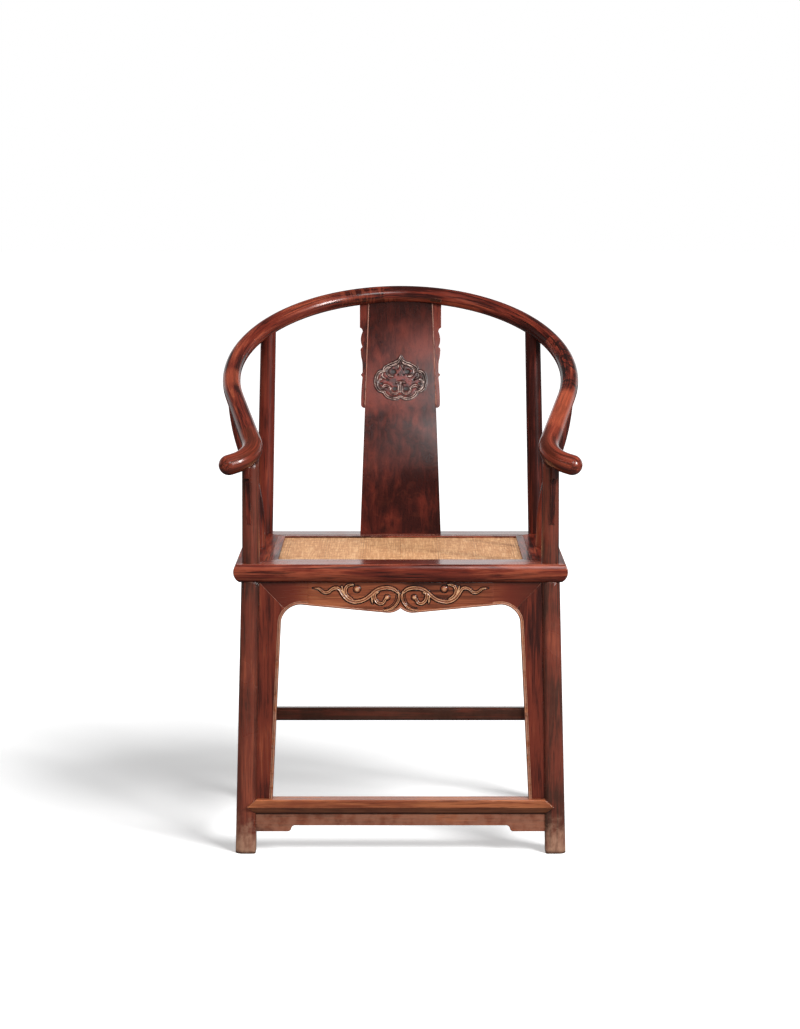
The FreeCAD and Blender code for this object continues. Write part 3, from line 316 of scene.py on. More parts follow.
def figured(tree, look, place, cloud, tone, pale, contrast, along):
    """The ground of the wood with its dark and light figure."""
    figure = noise(tree, stretched(tree, place, ALONG_FIGURE * along), look.figure_size * along ** 0.5,
                   5, 0.62, 0.7)
    level = maths(tree, "MULTIPLY_ADD", maths(tree, "SUBTRACT", figure, 0.5), contrast, 0.5)
    level = maths(tree, "MULTIPLY_ADD", maths(tree, "SUBTRACT", cloud, 0.5), 0.55, level)
    level = maths(tree, "ADD", level, (tone - 0.5) * 0.3)
    body = blend(tree, pale, look.body, look.pale_body)
    light = blend(tree, pale, look.light, look.pale_light)
    dark = blend(tree, pale * 0.8, look.dark, look.pale_dark)
    tint = blend(tree, ramp(tree, level, 0.36, 0.52), dark, body)
    return blend(tree, ramp(tree, level, 0.52, 0.74), tint, light)


def streaked(tree, look, tint, place, contrast):
    """Nearly black lines along the grain, gathered in some stretches."""
    streaks = noise(tree, stretched(tree, place, ALONG_STREAK), look.streak_size, 4, 0.6, 0.4)
    gathered = noise(tree, stretched(tree, place, ALONG_FIGURE), GATHER_SIZE, 2, 0.5, 0.3)
    lines = times(tree, ramp(tree, streaks, 0.51, 0.64), ramp(tree, gathered, 0.38, 0.58))
    return blend(tree, times(tree, lines, 0.85 * contrast), tint, look.streak_and_shade)


def blotched(tree, look, tint, place, mottle):
    """Dark and light blotches."""
    blot = noise(tree, place, BLOT_SIZE, 4, 0.62, 1.6)
    tint = blend(tree, times(tree, ramp(tree, blot, 0.50, 0.68), mottle), tint, look.dark)
    return blend(tree, times(tree, ramp(tree, blot, 0.50, 0.34), mottle * 0.5), tint, look.light)


def worn_share(tree, rub, agrees, wear, worn_all):
    """How far the polish has worn, on the edges and in patches all over, which on the front legs are partly
    painted sheen.
    """
    worn = times(tree, ramp(tree, agrees, 0.985, 0.86), ramp(tree, rub, 0.40, 0.60, 0.3 * wear, wear))
    if worn_all:
        worn = maths(tree, "MAXIMUM", worn, ramp(tree, rub, 0.30, 0.62, 0.1, worn_all))
    return worn


def scuffed_share(tree, place, rub, foot):
    """How far the lower end of a leg is scuffed. The foot is the height that the scuffs reach."""
    wander = times(tree, maths(tree, "SUBTRACT", rub, 0.5), FOOT_WANDER)
    low = ramp(tree, maths(tree, "ADD", level_above_floor(tree), wander), foot, 0.0, 0.0, 0.95)
    scratches = noise(tree, stretched(tree, place, ALONG_SCRATCH), SCRATCH_SIZE, 3, 0.6)
    return times(tree, low, ramp(tree, scratches, 0.30, 0.62, 0.55, 1))


def shadowed(tree, look, tint, source, ends, under, grime):
    """Paints shade on the far ends of an apron, on the wood under a level, and down from a top, under the
    piece above.
    """
    if ends:
        # Painted shade: the apron darkens towards its far ends, beside the legs
        aside = maths(tree, "ABSOLUTE", axis(tree, source, "X"))
        tint = blend(tree, ramp(tree, aside, 0.13, 0.20, 0, 0.9), tint, look.body)
        tint = blend(tree, ramp(tree, aside, 0.16, 0.25, 0, 0.5), tint, look.streak_and_shade)
    if under:
        # Painted shadow on the wood below a level, as under the footrest's nose
        shade = ramp(tree, level_above_floor(tree), under + UNDER_SOFT, under - UNDER_SOFT, 0, 0.8)
        tint = blend(tree, shade, tint, look.streak_and_shade)
    if grime:
        # Painted shade: the wood darkens towards a top, under the piece above it
        top, reach = grime
        shade = ramp(tree, level_above_floor(tree), top - reach, top - reach * 0.1, 0, 0.9)
        tint = blend(tree, shade, tint, look.streak_and_shade)
    return tint


def carved_tint(tree, look, tint, place, rub, carved, pale):
    """Hollows darkened by dirt and painted shade, a red ground and rubbed tops: pale on pale wood, and on
    dark wood silvered, partly wear and partly painted highlight.
    """
    height = stored(tree, "relief")["Fac"]
    # Dirt and painted shade in the hollows
    tint = blend(tree, ramp(tree, height, 0.44, 0.26), tint, look.hollow)
    tops = times(tree, ramp(tree, height, 0.86, 0.98), ramp(tree, rub, 0.34, 0.56, carved * 0.5, carved))
    red = times(tree, window(tree, height, 0.57, 0.65, 0.015), 0.45)
    tint = blend(tree, red, tint, look.red_ground)
    if pale:
        return blend(tree, tops, tint, look.pale)
    shades = noise(tree, place, SHADE_SIZE, 3, 0.6)
    tint = blend(tree, ramp(tree, shades, 0.58, 0.44, 0, 0.75), tint, look.streak_and_shade)
    tops = times(tree, tops, ramp(tree, shades, 0.42, 0.58, 0.25, 1.2))
    # Painted highlight: the rim's tops are brightened further
    tops = maths(tree, "MAXIMUM", tops, ramp(tree, height, 0.955, 0.99, 0, 0.75))
    return blend(tree, tops, tint, look.silvered_and_highlight)


def polish(tree, shader, roughness, *rougher):
    """The roughness of the polish, with the places where it is rougher and by how much."""
    for where, amount in rougher:
        roughness = maths(tree, "ADD", roughness, times(tree, where, amount))
    tree.links.new(roughness, shader.inputs["Roughness"])


def surface(tree, shader, place, pore_lines, normal):
    """The gentle waves of the old surface, and its pores."""
    wave = add(tree, "Bump", {"Height": noise(tree, place, WAVE_SIZE, 2, 0.4), "Distance": WAVE_DEPTH,
                              "Strength": 0.5, "Normal": normal}).outputs["Normal"]
    bump = add(tree, "Bump", {"Height": maths(tree, "SUBTRACT", 1.0, pore_lines), "Distance": BUMP_DEPTH,
                              "Strength": 0.05, "Normal": wave})
    tree.links.new(bump.outputs["Normal"], shader.inputs["Normal"])


def rosewood(name, grain, cut, tone, pale=0.0, contrast=1.0, along=1.0, mottle=0.0, painted=None, wear=0.8,
             edge=1.0, worn_all=0.0, foot=None, ends=False, under=None, grime=None, carved=0.0, rounding=0.0,
             dull=0.0, shine=0.38):
    """Polished rosewood. The tone goes from dark, 0, to light, 1, and pale adds orange-brown.

    Along draws the figure together, and painted adds features of its own. Wear, edge and worn_all say how far
    the polish has worn; on the front legs the patches all over are partly painted sheen. rounding rounds
    the edges of a leg and paints shade along them, ends, under and grime paint shade, and dull and shine
    change the gloss.
    """
    look = bpy.context.scene.rosewood_look
    material, tree, shader = new_material(name)
    source, place = grain_place(tree, grain, cut)
    cloud = noise(tree, place, CLOUD_SIZE, 3, 0.5, 0.6)
    rub = noise(tree, place, RUB_SIZE, 4, 0.65)
    pores = noise(tree, stretched(tree, place, ALONG_PORE), look.pore_size, 2, 0.5)
    pore_lines = ramp(tree, pores, 0.56, 0.70)
    tint = figured(tree, look, place, cloud, tone, pale, contrast, along)
    tint = streaked(tree, look, tint, place, contrast)
    tint = blend(tree, times(tree, pore_lines, 0.45), tint, look.streak_and_shade)
    if mottle:
        tint = blotched(tree, look, tint, place, mottle)
    if painted:
        tint = painted(tree, tint)
    true = add(tree, "NewGeometry").outputs["Normal"]
    soft, agrees = rounded_normal(tree, true, look.edge_radius * edge, 4)
    worn = 0.0 if carved else worn_share(tree, rub, agrees, wear, worn_all)
    tint = blend(tree, worn, tint, look.worn)
    scuffed = scuffed_share(tree, place, rub, foot) if foot else 0.0
    tint = blend(tree, scuffed, tint, look.scuffed)
    tint = shadowed(tree, look, tint, source, ends, under, grime)
    if carved:
        tint = carved_tint(tree, look, tint, place, rub, carved, pale)
    if rounding:
        soft, agrees = rounded_normal(tree, true, rounding, 12)
        # Painted shade: the wood darkens near a leg's edges, as if the leg were round
        tint = blend(tree, ramp(tree, agrees, 0.99, 0.82, 0, 0.75), tint, look.streak_and_shade)
    shader.inputs["Base Color"].default_value = (*look.body, 1)
    tree.links.new(tint, shader.inputs["Base Color"])
    shader.inputs["Specular IOR Level"].default_value = shine
    polish(tree, shader, look.roughness + dull, (pore_lines, 0.03), (ramp(tree, cloud, 0.35, 0.7), 0.10),
           (worn, 0.25), (scuffed, 0.35))
    surface(tree, shader, place, pore_lines, true if carved else soft)
    return material


def rail_figure(*features):
    """Stretches of the rail with bands across the grain, dark blotches or a paler wood."""
    look = bpy.context.scene.rosewood_look

    def paint(tree, tint):
        source = stored(tree, "grain")["Vector"]
        along = axis(tree, source, "Z")
        for kind, low, high, strength in features:
            there = times(tree, window(tree, along, low, high, 0.012), strength)
            if kind == "stripes":
                bands = noise(tree, scaled(tree, source, (0.16, 0.16, 1)), look.stripe_size, 2, 0.5, 0.2)
                dark, light = ramp(tree, bands, 0.48, 0.58, 0, 0.6), ramp(tree, bands, 0.50, 0.42, 0, 0.5)
                tint = blend(tree, times(tree, there, dark), tint, look.dark)
                tint = blend(tree, times(tree, there, light), tint, look.light)
            elif kind == "dark":
                blots = ramp(tree, noise(tree, source, 0.022, 3, 0.6, 1.5), 0.46, 0.56, 0, 0.85)
                tint = blend(tree, times(tree, there, blots), tint, look.streak_and_shade)
            else:
                lines = noise(tree, stretched(tree, source, 0.08), 0.006, 3, 0.6, 0.5)
                tint = blend(tree, times(tree, there, ramp(tree, lines, 0.30, 0.60, 1, 0.6)), tint,
                             look.pale_rail)
        return tint

    return paint


def dress(node, *wood, **finish):
    """Gives a CAD node its own rosewood: the axis of its grain, its cut number, its tone and its finish."""
    material = rosewood(node, *wood, **finish)
    slots = NODES[node].data.materials
    if not slots:
        slots.append(material)
    for place in range(len(slots)):
        slots[place] = material


# Modelling helpers

SIDES = ("left", "right")
# Points nearer than this are one
MERGE = 0.000002
# Cosines: a face of the rail that points away from its middle, a face at the front, a face of an opening
ROUND_COS, FACE_COS, OPENING_COS = 0.8, 0.9, 0.4
# A ray that finds edges hidden by wood starts this far into the opening and before the face, with this reach
PROBE_ASIDE, PROBE_BEFORE, PROBE_REACH = 0.002, 0.1, 0.15
# Points of the rail's route that its dark core takes up on each side
CORE_END = 77
# The front of the front apron: its Y at the height FACE_Z, and how far it leans back for each metre upwards
FACE_Y, FACE_Z, FACE_LEAN = -0.24975, 0.492, 6 / 525
# A place within the thickness of the front apron, and the height of its carved part for the count of rows
APRON_DEPTH, APRON_TALL = -0.2485, 0.05
# How far each carved slab reaches into the wood, how far its border lies under the face, and its widths
SLAB_DEPTH, MEDALLION_DEPTH, BORDER_SINK = 0.0008, 0.001, 0.0001
SIDE_BORDER, TOP_BORDER = 0.006, 0.0015
# The top of the painted shade under the seat frame, and how far it reaches down
SHADE_UNDER_SEAT = (0.495, 0.011)
# Below this level the footrest lies in shadow
FOOTREST_SHADE = 0.0755


def node_tree_of(node):
    """A search tree over a CAD node's faces."""
    mesh = NODES[node].data
    return BVHTree.FromPolygons([v.co[:] for v in mesh.vertices], [f.vertices[:] for f in mesh.polygons])


def hit(tree, start, direction):
    """The place where a ray first meets a node."""
    place = tree.ray_cast(Vector(start), Vector(direction))[0]
    if place is None:
        raise RuntimeError("a ray from %s misses its node" % (start,))
    return place


def front_of(tree, level):
    """The Y of the front of a node at its middle, at some height."""
    return hit(tree, (0, -1, level), (0, 1, 0)).y


def finish_piece(piece, material, replaced=()):
    """Gives a piece its material and its body, and hides the CAD nodes that it replaces."""
    piece.data.materials.clear()
    piece.data.materials.append(material)
    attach(piece, "root")
    if replaced:
        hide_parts(*replaced)
    piece.select_set(False)


def select_alone(piece):
    bpy.ops.object.select_all(action="DESELECT")
    piece.select_set(True)
    bpy.context.view_layer.objects.active = piece


def smooth(piece, degrees=60):
    """Shades a piece smooth, but for edges sharper than an angle."""
    select_alone(piece)
    bpy.ops.object.shade_smooth_by_angle(angle=math.radians(degrees))


def places_of(mesh):
    """The places of a mesh's points, one in each row."""
    flat = np.zeros(len(mesh.vertices) * 3, np.float32)
    mesh.vertices.foreach_get("co", flat)
    return flat.reshape(-1, 3).astype(float)


def board(name, columns, rows, shape):
    """A closed slab. shape gives its front places, back places and relief from shares across and up."""
    bpy.ops.object.select_all(action="DESELECT")
    bpy.ops.mesh.primitive_grid_add(x_subdivisions=columns, y_subdivisions=rows, size=2)
    piece = bpy.context.object
    piece.name = piece.data.name = name
    thick = piece.modifiers.new("thickness", "SOLIDIFY")
    thick.thickness, thick.offset = 1, -1
    bpy.ops.object.modifier_apply(modifier="thickness")
    mesh = piece.data
    flat = places_of(mesh)
    across, up, behind = flat[:, 0] / 2 + 0.5, flat[:, 1] / 2 + 0.5, flat[:, 2] < -0.5
    front, back, relief = shape(across, up)
    mesh.vertices.foreach_set("co", np.where(behind[:, None], back, front).astype(np.float32).ravel())
    shade = mesh.attributes.new("relief", "FLOAT", "POINT")
    shade.data.foreach_set("value", np.where(behind, 0.5, relief).astype(np.float32))
    bpy.ops.object.mode_set(mode="EDIT")
    bpy.ops.mesh.select_all(action="SELECT")
    bpy.ops.mesh.normals_make_consistent(inside=False)
    bpy.ops.object.mode_set(mode="OBJECT")
    return piece


def joined(node):
    """The faces of a CAD node, its loose triangles joined."""
    shaped = bmesh.new()
    shaped.from_mesh(NODES[node].data)
    bmesh.ops.remove_doubles(shaped, verts=shaped.verts, dist=MERGE)
    return shaped


def merged_copy(name, node):
    """A copy of a CAD node, its loose triangles joined."""
    bpy.ops.object.select_all(action="DESELECT")
    bpy.ops.mesh.primitive_plane_add(size=1)
    piece = bpy.context.object
    piece.name = piece.data.name = name
    shaped = joined(node)
    shaped.to_mesh(piece.data)
    shaped.free()
    return piece


def tube(name, routes, radius, roundness=2):
    """Round beads along some routes, with closed ends."""
    curve = bpy.data.curves.new(name, "CURVE")
    curve.dimensions = "3D"
    curve.bevel_depth = radius
    curve.bevel_resolution = roundness
    curve.use_fill_caps = True
    for route in routes:
        spline = curve.splines.new("POLY")
        spline.points.add(len(route) - 1)
        for point, place in zip(spline.points, route):
            point.co = (*place, 1)
    piece = bpy.data.objects.new(name, curve)
    bpy.context.scene.collection.objects.link(piece)
    select_alone(piece)
    bpy.ops.object.convert(target="MESH")
    return bpy.context.object


def smooth_line(points, steps=10):
    """A smooth line through points whose last value is the width there."""
    points = np.array(points, float)
    padded = np.vstack([2 * points[0] - points[1], points, 2 * points[-1] - points[-2]])
    share_along = np.linspace(0, 1, steps, endpoint=False)[:, None]
    pieces = []
    for before, start, end, after in zip(padded, padded[1:], padded[2:], padded[3:]):
        pieces.append(0.5 * (2 * start + (end - before) * share_along
                             + (2 * before - 5 * start + 4 * end - after) * share_along ** 2
                             + (3 * start - before - 3 * end + after) * share_along ** 3))
    return np.vstack([*pieces, points[-1:]])


def nearest(across, up, line):
    """How far each point lies from a line, and the line's width at the nearest place."""
    best, width = np.full(across.shape, np.inf), np.zeros(across.shape)
    for start, end in zip(line, line[1:]):
        run = end[:2] - start[:2]
        along = ((across - start[0]) * run[0] + (up - start[1]) * run[1]) / max(run @ run, 1e-12)
        along = np.clip(along, 0, 1)
        away = np.hypot(across - start[0] - along * run[0], up - start[1] - along * run[1])
        closer = away < best
        best = np.where(closer, away, best)
        width = np.where(closer, start[2] + (end[2] - start[2]) * along, width)
    return best, width


def ease(value, low, high):
    """A share that climbs smoothly from 0 to 1 while the value goes from low to high."""
    share_there = np.clip((value - low) / (high - low), 0, 1)
    return share_there * share_there * (3 - 2 * share_there)


# Operators


class ArmchairLegs(bpy.types.Operator):
    """Finishes the legs, the posts and the side posts."""
    bl_idname = "armchair.legs"
    bl_label = "Legs and posts"

    def execute(self, context):
        for number, side in enumerate(SIDES):
            # On the front legs the pale patches all over are partly wear and partly painted sheen, and
            # painted shade darkens them near their edges
            dress("front_leg_" + side, "Z", 1 + number, 0.5, foot=0.075, wear=0.45, contrast=0.7,
                  worn_all=0.07, rounding=0.013)
            # The right rear leg's darker tone is partly darker wood and partly painted shade, where the arm
            # shades it
            dress("rear_leg_" + side, "Z", 3 + number, (0.5, 0.15)[number], foot=0.06, wear=0.3, edge=0.4,
                  dull=0.16, contrast=0.6, shine=0.2)
            dress("side_post_" + side, "Z", 5 + number, 0.35, wear=0.4, contrast=0.7)
            dress("grip_bracket_" + side, "Z", 7 + number, 0.42, wear=0.4, contrast=0.7)
        return {"FINISHED"}


class ArmchairSeat(bpy.types.Operator):
    """Finishes the seat frame, its braces and the strips round the cane."""
    bl_idname = "armchair.seat"
    bl_label = "Seat frame"

    def execute(self, context):
        # The front member's lighter tone partly paints the highlight on its moulded edge
        dress("seat_frame_front", "X", 9, 0.82)
        dress("seat_frame_back", "X", 10, 0.45)
        for number, side in enumerate(SIDES):
            dress("seat_frame_side_" + side, "Y", 11 + number, 0.5, dull=0.1, shine=0.02)
            dress("seat_brace_" + side, "Y", 13 + number, 0.35)
            dress("cane_strip_" + side, "Y", 15 + number, 0.5, shine=0.02)
        dress("cane_strip_front", "X", 17, 0.5)
        dress("cane_strip_back", "X", 18, 0.6)
        return {"FINISHED"}


# Strokes of the carvings, in millimetres: across, up and half the width. Each is on the left half.
APRON_STROKES = (
    ((-156, 481.5, 0.4), (-150, 481.2, 1.2), (-144.5, 480, 2.0), (-140, 476, 2.3), (-135, 473.5, 2.5),
     (-129, 474, 2.6), (-124.6, 477.5, 2.6), (-119.4, 481, 2.7), (-112, 481.5, 2.9), (-107.4, 477, 3.0),
     (-102.6, 469.5, 3.1), (-96.4, 462.5, 3.3), (-88, 458, 3.5), (-79.6, 456.8, 3.5), (-70, 458.6, 3.4),
     (-62, 462, 3.3), (-53.4, 468.4, 3.3), (-47, 474.4, 3.3), (-39.8, 479, 3.3), (-31.4, 481.4, 3.3),
     (-21, 481.8, 3.3), (-11.5, 479, 3.2), (-4.5, 473.6, 2.4)),
    ((-84, 488, 1.2), (-91, 487, 2.2), (-96, 484, 2.8), (-98.6, 478, 3.0), (-97.6, 471, 3.1),
     (-93.2, 465.4, 3.1), (-87, 461, 2.6)),
    ((-104.4, 485, 1.0), (-103.6, 480, 1.5), (-102, 474, 1.4), (-99, 467, 0.8)),
    ((-40.5, 473.6, 1.6), (-45.4, 471.6, 2.4), (-46.2, 464.6, 2.9), (-43.4, 458.2, 3.0), (-37.7, 454, 2.9),
     (-31.8, 454.6, 2.6), (-28.6, 459, 2.4), (-26.6, 463, 2.0)),
    ((-51.2, 466.5, 1.4), (-50.8, 460, 1.8), (-50.0, 454.6, 1.0)),
    ((-4.2, 474, 1.2), (-2.7, 469, 1.9), (-3.0, 462, 2.2), (-6.2, 454.4, 2.2), (-12, 447.8, 2.1),
     (-20, 443.2, 1.9), (-29, 441.6, 1.5)),
)
# Centres across and up, and radii, of the round ends of the tendrils
APRON_BALLS = ((-77.5, 479.6, 6.0), (-24.1, 464.6, 4.6))
APRON_GROOVES = (
    ((-8, 470, 0.9), (-9.6, 462, 0.9), (-13, 455, 0.9), (-19, 449.5, 0.9), (-27, 446.6, 0.9),
     (-36, 446.4, 0.6)),
)
# The rim's three parts, across and up
MEDALLION_RIM = (
    ((0, 859), (-4.5, 851.3), (-12.3, 846.9), (-21, 844), (-29.7, 839.2), (-34.2, 834.8), (-34.4, 830.4)),
    ((-34.4, 830.4), (-40, 829.6), (-45.9, 826.8), (-50, 820.5), (-52, 812), (-51.8, 803), (-49.5, 795.5),
     (-45.2, 790.4), (-39.2, 787.6), (-34.6, 787)),
    ((-34.6, 787), (-31.7, 780.7), (-24.9, 775.8), (-16.1, 773.4), (-8.4, 773.4), (-2.6, 775.8), (0, 777.8)),
)
MEDALLION_STROKES = (
    ((0, 807, 2.4), (-0.4, 798, 2.0), (-0.8, 788, 1.6)),
    ((-1.5, 806.5, 2.2), (-6, 807, 1.8), (-9.5, 805, 0.8)),
    ((-3.4, 789, 1.4), (-6.5, 785.4, 2.0), (-12, 784, 2.4), (-17.6, 786.2, 2.3), (-20.4, 791.5, 1.9),
     (-19.2, 796.5, 1.2)),
    ((-3.2, 802, 0.8), (-4.2, 797, 1.4), (-4.0, 791, 1.2)),
    ((-22.5, 797, 2.2), (-27, 799.5, 3.4), (-32, 800.5, 3.2), (-36, 796, 2.4), (-41, 795.5, 2.4),
     (-44.8, 800.5, 2.4), (-45, 807, 2.3), (-41.6, 812.4, 2.0), (-37.6, 812.6, 1.2)),
    ((-29.5, 813.5, 0.9), (-33.6, 815.8, 1.5), (-37.4, 819.4, 1.6), (-36.4, 823.6, 1.2)),
    ((-14.6, 818.4, 1.0), (-20, 818.8, 1.9), (-24.8, 822.4, 2.4), (-27.4, 828.4, 2.3), (-25.6, 834, 1.7),
     (-20.6, 836.4, 1.2)),
    ((-4, 846.4, 1.5), (-9, 843, 2.2), (-15.4, 840.4, 1.8), (-20.6, 838.6, 1.0)),
    ((-2.2, 843, 1.0), (-4.6, 838, 1.3), (-5.6, 832.4, 0.8)),
)
# Centres across and up, and radii, of the hollows in the cartouche
MEDALLION_HOLLOWS = ((-14, 827.4, 6.6), (-11.6, 793.6, 6.2), (-38.6, 804, 3.8), (-26, 811, 3.0),
                     (-6, 821, 2.5))
# The cartouche's top and middle above the floor, and half the width of its rim
MEDALLION_TOP, MEDALLION_MIDDLE, RIM_WIDTH = 859, 812, 1.05
# The inner line of the rim: its scale across and up, and how far its middle lies lower
INNER_ACROSS, INNER_UP, INNER_DROP = 0.915, 0.905, 0.5


def mirrored(strokes):
    """Smooth lines through some strokes, and through the same on the other half."""
    others = [[(-x, *rest) for x, *rest in stroke] for stroke in strokes]
    return [smooth_line(stroke) for stroke in (*strokes, *others)]


def ridges(across, up, lines, groove=0.55):
    """Height, from 0 to 1, of grooved bands along some lines, and how near to them a point is."""
    height, beside = np.zeros(across.shape), np.full(across.shape, np.inf)
    for line in lines:
        away, width = nearest(across, up, line)
        width = np.maximum(width, 0.3)
        crown = 1 - groove * (1 - ease(away / width, 0.05, 0.5)) * ease(width, 1.4, 2.4)
        height = np.maximum(height, crown * (1 - ease(away / width, 0.70, 1.08)) * ease(width, 0.2, 1.2))
        beside = np.minimum(beside, away - width)
    return height, beside


def within(across, up, outline):
    """Whether points lie inside a closed outline."""
    inside = np.zeros(across.shape, bool)
    for (x, z), (next_x, next_z) in zip(outline, np.roll(outline, -1, 0)):
        if z != next_z:
            crosses = (z > up) != (next_z > up)
            inside ^= crosses & (across < x + (up - z) * (next_x - x) / (next_z - z))
    return inside


def whole_tree():
    """A search tree over the faces of all CAD nodes."""
    solid = bmesh.new()
    for node in NODES.values():
        solid.from_mesh(node.data)
    tree = BVHTree.FromBMesh(solid)
    solid.free()
    return tree


def walk(links):
    """The places of a line in their order, from the neighbours of each."""
    route = [next(place for place, near in links.items() if len(near) == 1)]
    while True:
        onward = [place for place in links[route[-1]] if place not in route]
        if not onward:
            break
        route.append(onward[0])
    if len(route) != len(links):
        raise RuntimeError("the opening's edge has %d of %d places" % (len(route), len(links)))
    return route


def opening_edge(nodes, facing):
    """The line where the front faces of some nodes meet their opening, as places and ways into the wood."""
    facing = Vector(facing)
    tree = whole_tree()
    links, ways = {}, {}
    for node in nodes:
        shaped = joined(node)
        for edge in shaped.edges:
            first, second = sorted((face.normal for face in edge.link_faces), key=facing.dot)
            if second.dot(facing) < FACE_COS or first.dot(facing) > OPENING_COS:
                continue
            middle = (edge.verts[0].co + edge.verts[1].co) / 2
            if tree.ray_cast(middle + first * PROBE_ASIDE + facing * PROBE_BEFORE, -facing, PROBE_REACH)[0]:
                continue
            ends = [tuple(round(value, 4) for value in vert.co) for vert in edge.verts]
            for here, there in (ends, ends[::-1]):
                links.setdefault(here, []).append(there)
                ways[here] = ways.get(here, Vector()) - first
        shaped.free()
    return [(Vector(place), (ways[place] - facing * ways[place].dot(facing)).normalized())
            for place in walk(links)]


def inset_route(route, inset, facing, depth):
    """The route moved into the wood, its middle a little under the face."""
    return [place + way * inset - Vector(facing) * depth for place, way in route]


def edge_height(across):
    """The lower edge of the front apron, found on its solid."""
    tree = node_tree_of("front_apron")
    spots = np.linspace(-1, 1, 561)
    reach = np.abs(across).max()
    found = [hit(tree, (spot * reach, APRON_DEPTH, 0.3), (0, 0, 1)).z for spot in spots]
    return np.interp(across, spots * reach, found)


# The apron's wood, with painted shade at its far ends and under the seat frame
APRON_WOOD = {"grain": "X", "cut": 19, "tone": 0.5, "pale": 0.72, "contrast": 0.6, "grime": SHADE_UNDER_SEAT,
              "ends": True}
FRONT_OPENING = ("front_apron", "front_apron_strip_left", "front_apron_strip_right")
SIDE_OPENING = ("side_apron_", "side_apron_front_strip_", "side_apron_rear_strip_")


class ArmchairAprons(bpy.types.Operator):
    """Finishes the aprons and their side strips and carves the front one."""
    bl_idname = "armchair.aprons"
    bl_label = "Aprons"

    def execute(self, context):
        dress("front_apron", **APRON_WOOD)
        self.carve(context.scene.carving_size)
        self.bead(context.scene.carving_size)
        dress("rear_apron", "X", 20, 0.45, pale=0.2)
        for number, side in enumerate(SIDES):
            dress("front_apron_strip_" + side, "Z", 21 + number, 0.42, pale=0.08, contrast=0.6)
            dress("side_apron_" + side, "Y", 23 + number, 0.5, pale=0.4)
            dress("side_apron_front_strip_" + side, "Z", 25 + number, 0.45, pale=0.2)
            dress("side_apron_rear_strip_" + side, "Z", 27 + number, 0.45, pale=0.2)
        return {"FINISHED"}

    def carve(self, sizes):
        """The tendrils, on a slab that lies on the front of the apron."""
        lines, grooves = mirrored(APRON_STROKES), mirrored(APRON_GROOVES)
        columns = round(2 * sizes.reach / sizes.grid)
        rows = round(APRON_TALL / sizes.grid)

        def shape(across, up):
            x = (across * 2 - 1) * sizes.reach
            low = edge_height(x)
            z = low + (sizes.top - low) * up
            face = FACE_Y + (z - FACE_Z) * FACE_LEAN
            u, v = x * 1000, z * 1000
            height, beside = ridges(u, v, lines)
            for centre, level, radius in APRON_BALLS:
                away = np.hypot(np.abs(u) - abs(centre), v - level)
                height = np.maximum(height, np.sqrt(np.clip(1 - (away / radius) ** 2, 0, 1)))
                beside = np.minimum(beside, away - radius)
            cut = (1 - ease(beside, 0.6, 2.6)) * (height < 0.02)
            cut = np.maximum(cut, ridges(u, v, grooves, 0)[0] * 0.8 * (height < 0.02))
            border = ease(sizes.reach - np.abs(x), 0, SIDE_BORDER) * ease(sizes.top - z, 0, TOP_BORDER)
            level = sizes.ground - sizes.ditch * cut + (sizes.rise - sizes.ground) * height
            proud = level * border - BORDER_SINK * (1 - border)
            front = np.stack([x, face - proud, z], 1)
            back = np.stack([x, face + SLAB_DEPTH, z], 1)
            return front, back, 0.5 + 0.5 * height * border - 0.4 * cut * border

        piece = board("apron_carving", columns, rows, shape)
        smooth(piece)
        finish_piece(piece, rosewood("apron_carving", carved=0.9, **APRON_WOOD))

    def bead(self, sizes):
        """The bead and the thin line round the front opening and the side openings."""
        wood = rosewood("bead", "X", 44, 0.8, pale=1.0, worn_all=0.9)
        openings = [("front", (0, -1, 0), FRONT_OPENING)]
        for side, way in zip(SIDES, (-1, 1)):
            openings.append((side, (way, 0, 0), [part + side for part in SIDE_OPENING]))
        for side, facing, nodes in openings:
            route = opening_edge(nodes, facing)
            for name, radius, inset in (("opening_bead_", sizes.bead_radius, sizes.bead_inset),
                                        ("opening_line_", sizes.line_radius, sizes.line_inset)):
                piece = tube(name + side, [inset_route(route, inset, facing, radius * 0.3)], radius)
                smooth(piece)
                finish_piece(piece, wood)


class ArmchairStretchers(bpy.types.Operator):
    """Finishes the footrest, its apron and the stretchers."""
    bl_idname = "armchair.stretchers"
    bl_label = "Footrest and stretchers"

    def execute(self, context):
        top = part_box("footrest_apron")[1][2]
        dress("footrest", "X", 29, 1.0, pale=0.62, contrast=0.5, under=FOOTREST_SHADE)
        # Painted shade darkens the top of the footrest's apron, under the footrest
        dress("footrest_apron", "X", 30, 0.62, pale=0.5, contrast=0.5, dull=0.2, worn_all=0.45,
              grime=(top, 0.005))
        dress("rear_stretcher", "X", 31, 0.3, worn_all=0.14, contrast=0.6)
        for number, side in enumerate(SIDES):
            dress("side_stretcher_" + side, "Y", 32 + number, 0.4)
        return {"FINISHED"}


SPLAT_WOOD = {"grain": "Z", "cut": 34, "tone": 0.26, "mottle": 0.14, "contrast": 0.28, "along": 3.0,
              "edge": 0.0}
# The top of the painted shade at the head of the splat, under the rail, and how far it reaches down
SPLAT_TOP_SHADE = (1.02, 0.16)


def cartouche_rim():
    """The rim's lines, the inner lines that follow them and the closed outline of the cartouche."""
    rim = [smooth_line([(*spot, RIM_WIDTH) for spot in part]) for part in MEDALLION_RIM]
    inner = [np.vstack([line[:, 0] * INNER_ACROSS,
                        (line[:, 1] - MEDALLION_MIDDLE) * INNER_UP + (MEDALLION_MIDDLE - INNER_DROP),
                        line[:, 2]]).T for line in rim]
    outline = np.vstack(rim)[:, :2]
    return rim, inner, np.vstack([outline, outline[::-1] * (-1, 1)])


